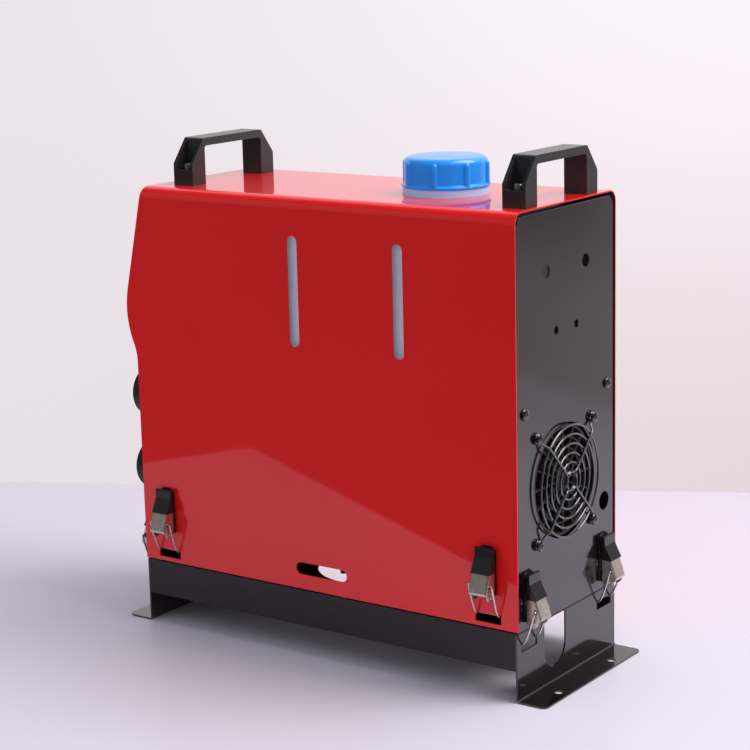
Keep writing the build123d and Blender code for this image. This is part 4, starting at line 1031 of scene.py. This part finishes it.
class HEATER_OT_guard(Operator):
    """Welded wire guard with its rings, bent spokes and eyelets"""
    bl_idname = "heater.guard"
    bl_label = "Fan guard"

    STEP = 7.25                                  # from ring to ring
    OUT = 4.6                                    # the rings' distance from the panel
    EYE = 3.6                                    # radius of the loop round a screw

    def execute(self, context):
        thick = size("guard_wire")
        place = endways(PANEL_X, GUARD_Y, GUARD_Z)
        rings = []
        for ring in range(1, 7):
            clear()
            bpy.ops.mesh.primitive_torus_add(major_radius=self.STEP * ring * MM, minor_radius=thick / 2 * MM,
                                             major_segments=120, minor_segments=14,
                                             location=(0, 0, self.OUT * MM))
            rings.append(bpy.context.object)
        quarters = [spun(radians(45 + 90 * step)) for step in range(4)]
        spokes = spread(wire(self.spoke(thick), thick), quarters)
        guard = settle(join(*rings, *spokes), place)
        take(guard)
        bpy.ops.object.shade_smooth()
        dress(guard, "wire_guard", "case", wire_black, "guard_wire", "fan_guard")
        return {"FINISHED"}

    def spoke(self, thick):
        """From the loop round the screw, up over the rings and along the innermost one."""
        reach = GUARD_PITCH / math.sqrt(2)
        rise = self.OUT + 1.35
        path = [(x, y, thick / 2) for x, y in arc(reach, 0, self.EYE, -170, 150, 20)]
        path += [(reach - 4.2, 3.0, 1.0), (reach - 6.6, 0.5, 1.6), (47.5, 0, self.OUT), (45.6, 0, rise),
                 (36, 0, rise), (24, 0, rise), (13, 0, rise), (9.6, 0.2, rise), (7.6, 1.6, rise)]
        return path + [(x, y, rise) for x, y in arc(0, 0, self.STEP, 24, 85, 15)]


class HEATER_OT_screws(Operator):
    """Domed cross-head screws of the guard and the tank shelf"""
    bl_idname = "heater.screws"
    bl_label = "Panel screws"

    HEAD = 4.6                                   # radius
    TURN = 0.7                                   # radians from one cross to the next

    def execute(self, context):
        places = [place @ spun(self.TURN * number) for place, number in self.places()]
        screws = spread(self.screw(), places)
        dress(join(*screws), "domed_screws", "case", screw_black, "screw_steel", "panel_screws")
        return {"FINISHED"}

    def screw(self):
        dome = [(2.0, -7), (2.0, 0), (4.3, 0), (self.HEAD, 0.3), (self.HEAD, 0.8)]
        for turn in range(12, 84, 12):
            dome.append((self.HEAD * cos(radians(turn)), 0.8 + 1.8 * sin(radians(turn))))
        screw = turned([*dome, (0.6, 2.6)], steps=48)
        for wide, high in ((4.6, 0.8), (0.8, 4.6)):
            cut(screw, plate(box_points(wide, high), 2, shift(z=1.5)))
        return soften(screw, 0.12)

    def places(self):
        """Where each screw sits, with a number that its cross is turned by."""
        half = GUARD_PITCH / 2
        corners = [(y, z) for y in (-half, half) for z in (-half, half)]
        spots = []
        for index, (y, z) in enumerate(corners):
            spots.append((endways(PANEL_X + 1.8, GUARD_Y + y, GUARD_Z + z), index))
        for end in (-1, 1):
            for y in (-SHELF_SCREW_Y, SHELF_SCREW_Y):
                spot = (end * PANEL_X, y, SHELF_SCREW_Z)
                spots.append((facing(spot, (0, end, 0), (end, 0, 0)), y + end))
        return spots


class HEATER_OT_intake(Operator):
    """Moulded grille and the fan behind the guard"""
    bl_idname = "heater.intake"
    bl_label = "Grille and fan"

    GRILLE_X = 178
    FAN_X = 140
    SPOKES = 16
    BLADES = 11
    ROOT = 13                                    # a blade's radius at the hub, and from there
    SPAN = 23                                    # out to its tip
    PITCH = 52                                   # degrees that it leans at the root,
    TWIST = 22                                   # and how many fewer at the tip
    CHORD = 9.45                                 # half its width at the root,
    TAPER = 1.08                                 # and how much less at the tip
    SKEW = 0.012                                 # radians, times the square of the part
    PARTS = 6

    def execute(self, context):
        axis = endways(0, GUARD_Y, GUARD_Z)
        grille = settle(self.grille(), axis)
        soften(grille, 0.2)
        dress(grille, "air_grille", "case", unit_black, "unit_plastic", "inlet_grille")
        fan = settle(self.fan(), axis)
        soften(fan, 0.3)
        dress(fan, "axial_fan", "rotor", unit_black, "unit_plastic", "intake_fan")
        return {"FINISHED"}

    def grille(self):
        """Rings, hub and radial bars, out along Z."""
        bars = []
        for inner, outer in ((41.1, 43.5), (32.75, 34.25), (24.25, 25.75), (15.75, 17.25)):
            loop = [(outer, 0), (outer, 3.5), (inner, 3.5), (inner, 0), (outer, 0)]
            bars.append(turned(loop, shift(z=self.GRILLE_X), ring=True))
        bars.append(turned([(9, 0), (9, 3), (8.4, 3.5)], shift(z=self.GRILLE_X)))
        bar = [(7, -0.75), (42, -0.75), (42, 0.75), (7, 0.75)]
        for step in range(self.SPOKES):
            bars.append(plate(bar, 3.2, spun(math.tau * step / self.SPOKES) @ shift(z=self.GRILLE_X + 0.1)))
        return join(*bars)

    def fan(self):
        """Hub and twisted blades, out along Z."""
        blades = []
        for step in range(self.BLADES):
            rows = []
            for part in range(self.PARTS + 1):
                out = part / self.PARTS
                radius = self.ROOT + self.SPAN * out
                pitch = radians(self.PITCH - self.TWIST * out)
                reach = self.CHORD - self.TAPER * out * out
                skew = self.SKEW * part * part
                row = []
                for side in (-reach, reach):
                    turn = skew + side * cos(pitch) / radius
                    row.append((radius * cos(turn), radius * sin(turn), self.FAN_X + side * sin(pitch)))
                rows.append(row)
            blades.append(settle(folded(rows, 1.4), spun(math.tau * step / self.BLADES)))
        hub = turned([(12, 130), (14, 130.5), (14, 146), (13.2, 148.4), (11, 149.7), (6, 150)])
        return join(*blades, hub)


class HEATER_OT_tank(Operator):
    """Blow-moulded tank with its neck, and the ribbed cap"""
    bl_idname = "heater.tank"
    bl_label = "Tank and cap"

    MIDDLE = Vector((0.009, 0, 0.297))           # the tank's box, in metres
    BOX = (0.278, 0.14, 0.138)
    ROUND = 12                                   # radius of its edges
    CAP_Z = 378.0
    RIBS = 8
    FIRST_RIB = 17.5                             # degrees
    RIB_OUT = 32.2                               # from the cap's axis to a rib's

    def execute(self, context):
        dress(smooth(self.tank()), "milky_tank", "case", tank_milky, "tank_plastic", "fuel_tank")
        cap = settle(self.cap(), shift(NECK_X, 0, self.CAP_Z))
        soften(cap, 0.5, 3, 40)
        dress(cap, "ribbed_cap", "cap", cap_blue, "cap_plastic", "fuel_cap")
        return {"FINISHED"}

    def tank(self):
        clear()
        bpy.ops.mesh.primitive_cube_add(size=1, location=self.MIDDLE)
        tank = bpy.context.object
        tank.scale = self.BOX
        bpy.ops.object.transform_apply(location=True, rotation=True, scale=True)
        modify(tank, "BEVEL", width=self.ROUND * MM, segments=6)
        neck = [(33.6, 350), (33.6, 376.6), (33.1, 377.4), (32.4, 377.6), (29, 377.6), (28.5, 378.2),
                (28.5, 395.1), (28.1, 395.6), (26, 395.6), (25.5, 395.2), (25.5, 352)]
        return combine(tank, "UNION", turned(neck, shift(NECK_X)))

    def cap(self):
        profile = [(34.3, 0), (34.7, 0.4), (34.7, 1.4), (34.4, 1.8), (33.4, 2.2), (32.8, 2.8), (32.6, 3.6)]
        profile += arc(27.6, 17.9, 5.0, 0, 91, 15) + [(18, 23.3), (6, 23.6)]
        cap = turned(profile, steps=96)
        rib = [(2.6, 0.9), (2.6, 16.6), (2.4, 18.0), (1.9, 19.0), (1.1, 19.8), (0.3, 20.0)]
        for step in range(self.RIBS):
            place = spun(radians(self.FIRST_RIB + 360 * step / self.RIBS)) @ shift(self.RIB_OUT)
            combine(cap, "UNION", turned(rib, place, steps=24))
        return cut(cap, turned([(28.9, -1), (28.9, 20)]))


class HEATER_OT_outlets(Operator):
    """Four warm-air collars with their turning louvres"""
    bl_idname = "heater.outlets"
    bl_label = "Warm-air outlets"

    LEVELS = (("upper", 193), ("lower", 129))
    LOUVRE_OUT = 9.3                             # from the panel's face to the louvre's back
    SLAT_TILT = 30                               # degrees
    SLAT_END = 17.7                              # radius that the slats' ends lie on

    def execute(self, context):
        collar = self.collar()
        louvre = self.louvre()
        collars = []
        for level, z in self.LEVELS:
            for side, y in (("front", -OUTLET_Y), ("back", OUTLET_Y)):
                place = facing((-PANEL_X, y, z), (0, -1, 0), (-1, 0, 0))
                collars.append(settle(copy(collar), place))
                one = settle(copy(louvre), place @ shift(z=self.LOUVRE_OUT))
                dress(one, f"louvre_{level}_{side}_blades", f"louvre_{level}_{side}", unit_black,
                      "louvre_plastic", f"vent_louvre_{level}_{side}")
        discard(collar)
        discard(louvre)
        dress(smooth(join(*collars)), "duct_collars", "case", unit_black, "louvre_plastic", "vent_collars")
        return {"FINISHED"}

    def collar(self):
        loop = [(27, 0), (27, 1.3), (26.3, 2), (21.6, 2), (20.9, 2.6), (20.8, 3.2), (20.8, 18.8),
                (20.4, 19.6), (19.9, 20), (19.2, 20), (18.8, 19.5), (18.8, 9), (16.8, 9), (16.8, -3.2),
                (20.8, -3.2), (20.8, -0.1), (27, 0)]
        return turned(loop, ring=True)

    def louvre(self):
        loop = [(18.5, 0), (18.5, 9.6), (18.1, 10), (17.3, 10), (16.9, 9.6), (16.9, 0), (18.5, 0)]
        ring = turned(loop, ring=True)
        tilt = Matrix.Rotation(radians(self.SLAT_TILT), 4, "X")
        slats = []
        for y in (-11.1, -3.7, 3.7, 11.1):
            half = math.sqrt(self.SLAT_END ** 2 - y ** 2)
            slat = [(-half, -0.7), (half, -0.7), (half, 0.7), (-half, 0.7)]
            slats.append(plate(slat, 9.2, shift(0, y, 5) @ tilt @ shift(z=-4.6)))
        return soften(join(*slats, ring), 0.25)


class HEATER_OT_controls(Operator):
    """Control panel with its window and three keys"""
    bl_idname = "heater.controls"
    bl_label = "Control panel"

    UP = 331.0                                   # height of its middle
    THICK = 4
    RECESS = 2.5                                 # height of the window's floor
    LENS_X = -13                                 # places on its face
    KEY_X = 33
    KEYS = (("up", 14), ("power", 0), ("down", -14))

    def execute(self, context):
        out = (-cos(radians(LEAN)), 0, sin(radians(LEAN)))
        face = facing((nose_x(self.UP, 1.0), 0, self.UP), (0, -1, 0), out)
        window = [(x + self.LENS_X, y) for x, y in rounded(box_points(60, 38), [1] * 4, 3)]
        bezel = plate(rounded(box_points(96, 56), [5] * 4), self.THICK)
        cut(bezel, plate(window, 3, shift(z=self.RECESS)))
        for name, up in reversed(self.KEYS):
            cut(bezel, turned([(4.8, 0.3), (4.8, 6)], shift(self.KEY_X, up), steps=48))
        settle(soften(bezel, 0.8, 3), face)
        dress(bezel, "key_bezel", "case", unit_black, "bezel_plastic", "control_bezel")
        lens = plate(window, 1.5, face @ shift(z=self.RECESS))
        dress(soften(lens, 0.3), "smoked_window", "case", lens_smoke, "lens", "display_lens")
        for name, up in self.KEYS:
            key = turned([(4.5, 1.6), (4.5, 4.8), (4.2, 5.4), (3.6, 5.6), (0.4, 5.7)],
                         face @ shift(self.KEY_X, up), steps=48)
            dress(smooth(key), f"key_{name}", f"button_{name}", key_grey, "button_plastic", f"button_{name}")
        return {"FINISHED"}


SIDEWAYS = facing((0, 0, 0), (0, 0, 1), (-1, 0, 0))      # a latch's side view: out, up


def latch_places():
    """Each latch's place: X across, Y up from its window's lower edge, Z outward."""
    places = {}
    sides = (("front", -1), ("back", 1))
    for side, face in sides:
        for end, way in (("outlet", -1), ("intake", 1)):
            spot = (way * CASE_LATCH_X, face * HALF_WIDTH, CASE_WINDOW_Z)
            places[f"{side}_{end}"] = facing(spot, (-face, 0, 0), (0, face, 0))
    for end, way in (("intake", 1), ("outlet", -1)):
        for side, face in sides:
            spot = (way * PANEL_X, face * LEG_LATCH_Y, LEG_WINDOW_Z)
            places[f"{end}_{side}"] = facing(spot, (0, way, 0), (way, 0, 0))
    return places


class HEATER_OT_latches(Operator):
    """Eight over-centre latches: back plate, folded lever with its grip, and wire bail"""
    bl_idname = "heater.latches"
    bl_label = "Toggle latches"

    PIVOT_OUT = 7.5
    PIVOT_UP = 24
    PLATE_LOW = 23
    PLATE_HIGH = 61.2

    def execute(self, context):
        plate_form = self.back_plate()
        pin_form = self.pins()
        lever_form = self.lever()
        grip_form = self.grip()
        bail_form = self.bail()
        plates = []
        pins = []
        for name, place in latch_places().items():
            plates.append(settle(copy(plate_form), place))
            pins.append(settle(copy(pin_form), place))
            dress(settle(copy(lever_form), place), f"steel_{name}", f"lever_{name}", nickel,
                  "latch_steel", f"latch_lever_{name}")
            dress(settle(copy(grip_form), place), f"grip_{name}", f"lever_{name}", grip_black,
                  "handle_plastic")
            dress(settle(copy(bail_form), place), f"wire_{name}", f"bail_{name}", bright_wire,
                  "latch_wire", f"latch_bail_{name}")
        for form in (plate_form, pin_form, lever_form, grip_form, bail_form):
            discard(form)
        dress(join(*plates), "back_plates", "case", grip_black, "latch_plate_steel", "latch_plates")
        dress(join(*pins), "latch_pins", "case", nickel, "latch_steel", "latch_rivets")
        return {"FINISHED"}

    def back_plate(self):
        """Riveted plate with two ears that hold the lever's pin."""
        low, high = self.PLATE_LOW, self.PLATE_HIGH
        outline = rounded([(-8, low), (8, low), (8, high), (-8, high)], [0.5, 0.5, 6.5, 6.5], 8)
        sheet = plate(outline, 1.0)
        ear = [(0, low), (0, 30), (7.5, 27.4)] + arc(self.PIVOT_OUT, self.PIVOT_UP, 3.4, 80, -100, -20)
        ears = [plate(ear, 1.2, shift(x) @ SIDEWAYS) for x in (6.3, -5.1)]
        return soften(join(*ears, sheet), 0.25)

    def pins(self):
        """The lever's pin with its two heads, and the plate's two rivets."""
        pin = endways(0, self.PIVOT_UP, self.PIVOT_OUT)
        heads = []
        for side in (-1, 1):
            place = facing((side * 7.95, self.PIVOT_UP, self.PIVOT_OUT), (0, 1, 0), (side, 0, 0))
            heads.append(turned([(2.5, 0), (2.6, 0.1), (2.5, 0.4), (2.0, 0.7), (0.8, 0.85)], place, 32))
        heads.append(turned([(1.5, -7.9), (1.5, 7.9)], pin, 24))
        for up in (36, 53):
            heads.append(turned([(2.6, 1.0), (2.5, 1.4), (2.0, 1.8), (0.8, 1.95)], shift(0, up), 32))
        return smooth(join(*heads))

    def lever(self):
        """Folded channel, open to the panel, with a lip at its lower edge and a hole for the bail."""
        side = [(3.0, 41.5), (3.0, 24)] + arc(7.7, 24, 4.7, 195, 360, 15)
        side += [(12.8, 24.3), (13.9, 24.9), (14.8, 26.0), (15.2, 27.3), (10.4, 41.5)]
        lever = plate(side[::-1], 15.6, shift(7.8) @ SIDEWAYS)

        def on_front_fold(first, second):
            return all(end.z > 10.2 and end.y > 27 for end in (first, second)) and \
                abs(first.x - second.x) < 0.1

        bend(lever, on_front_fold, 1.5)
        inner = [(0, 0), (13, 0), (13, 24.2), (12.2, 25.2), (13.4, 26.2), (13.9, 27.4), (9.3, 41),
                 (8.0, 60), (0, 60)]
        cut(lever, plate(inner[::-1], 13.2, shift(6.6) @ SIDEWAYS))
        cut(lever, plate(stadium(4.6, 2.3, 6), 40, endways(-20, 32.4, 10.4)))
        return soften(lever, 0.25)

    def grip(self):
        """Plastic over the lever's end: a leaning face, then a tip parallel to the panel."""
        side = rounded([(2.6, 41), (11.6, 41), (5.6, 52.8), (5.3, 60.2), (2.8, 60.2)],
                       [0, 0.3, 1.2, 0.7, 0.5])
        return soften(plate(side[::-1], 16.4, shift(8.2) @ SIDEWAYS), size("grip_edge"), 4, 50)

    def bail(self):
        """Wire from its pivots in the lever down to the hook behind the window."""
        leg = [(6.4, 33, 11), (9.0, 33, 11), (10.2, 32.6, 11), (10.4, 31, 10.6), (10.5, 27, 9.6),
               (10.3, 21, 7.7), (10.0, 13.5, 4.9), (9.9, 9.6, 3.1), (9.9, 7.2, 1.4), (9.9, 6.1, 0.2),
               (9.9, 5.8, -1.2), (9.9, 5.8, -3.2), (9.4, 5.8, -4.2), (7.6, 5.8, -4.2)]
        return wire([(-x, y, z) for x, y, z in leg] + leg[::-1], size("bail_wire"))


OPERATORS = (HEATER_OT_stage, HEATER_OT_inner, HEATER_OT_shell, HEATER_OT_sheets, HEATER_OT_handles,
             HEATER_OT_guard, HEATER_OT_screws, HEATER_OT_intake, HEATER_OT_tank, HEATER_OT_outlets,
             HEATER_OT_controls, HEATER_OT_latches)


class HEATER_PT_panel(Panel):
    """Sizes, colours and pieces of the heater"""
    bl_label = "Air heater"
    bl_idname = "HEATER_PT_panel"
    bl_space_type = "VIEW_3D"
    bl_region_type = "UI"
    bl_category = "Heater"

    def draw(self, context):
        for group in (context.scene.heater_sizes, context.scene.heater_colours):
            for name in group.__annotations__:
                self.layout.prop(group, name)
        for entry in OPERATORS:
            self.layout.operator(entry.bl_idname)


CLASSES = (HeaterSizes, HeaterColours, *OPERATORS, HEATER_PT_panel)


def register():
    """Add the classes and their settings."""
    for entry in CLASSES:
        bpy.utils.register_class(entry)
    bpy.types.Scene.heater_sizes = PointerProperty(type=HeaterSizes)
    bpy.types.Scene.heater_colours = PointerProperty(type=HeaterColours)


def unregister():
    """Take the classes and their settings away."""
    del bpy.types.Scene.heater_colours
    del bpy.types.Scene.heater_sizes
    for entry in reversed(CLASSES):
        bpy.utils.unregister_class(entry)


def main():
    """Build every piece in turn."""
    register()
    for entry in OPERATORS:
        group, name = entry.bl_idname.split(".")
        getattr(getattr(bpy.ops, group), name)()
    clear()


if __name__ == "__main__":
    main()
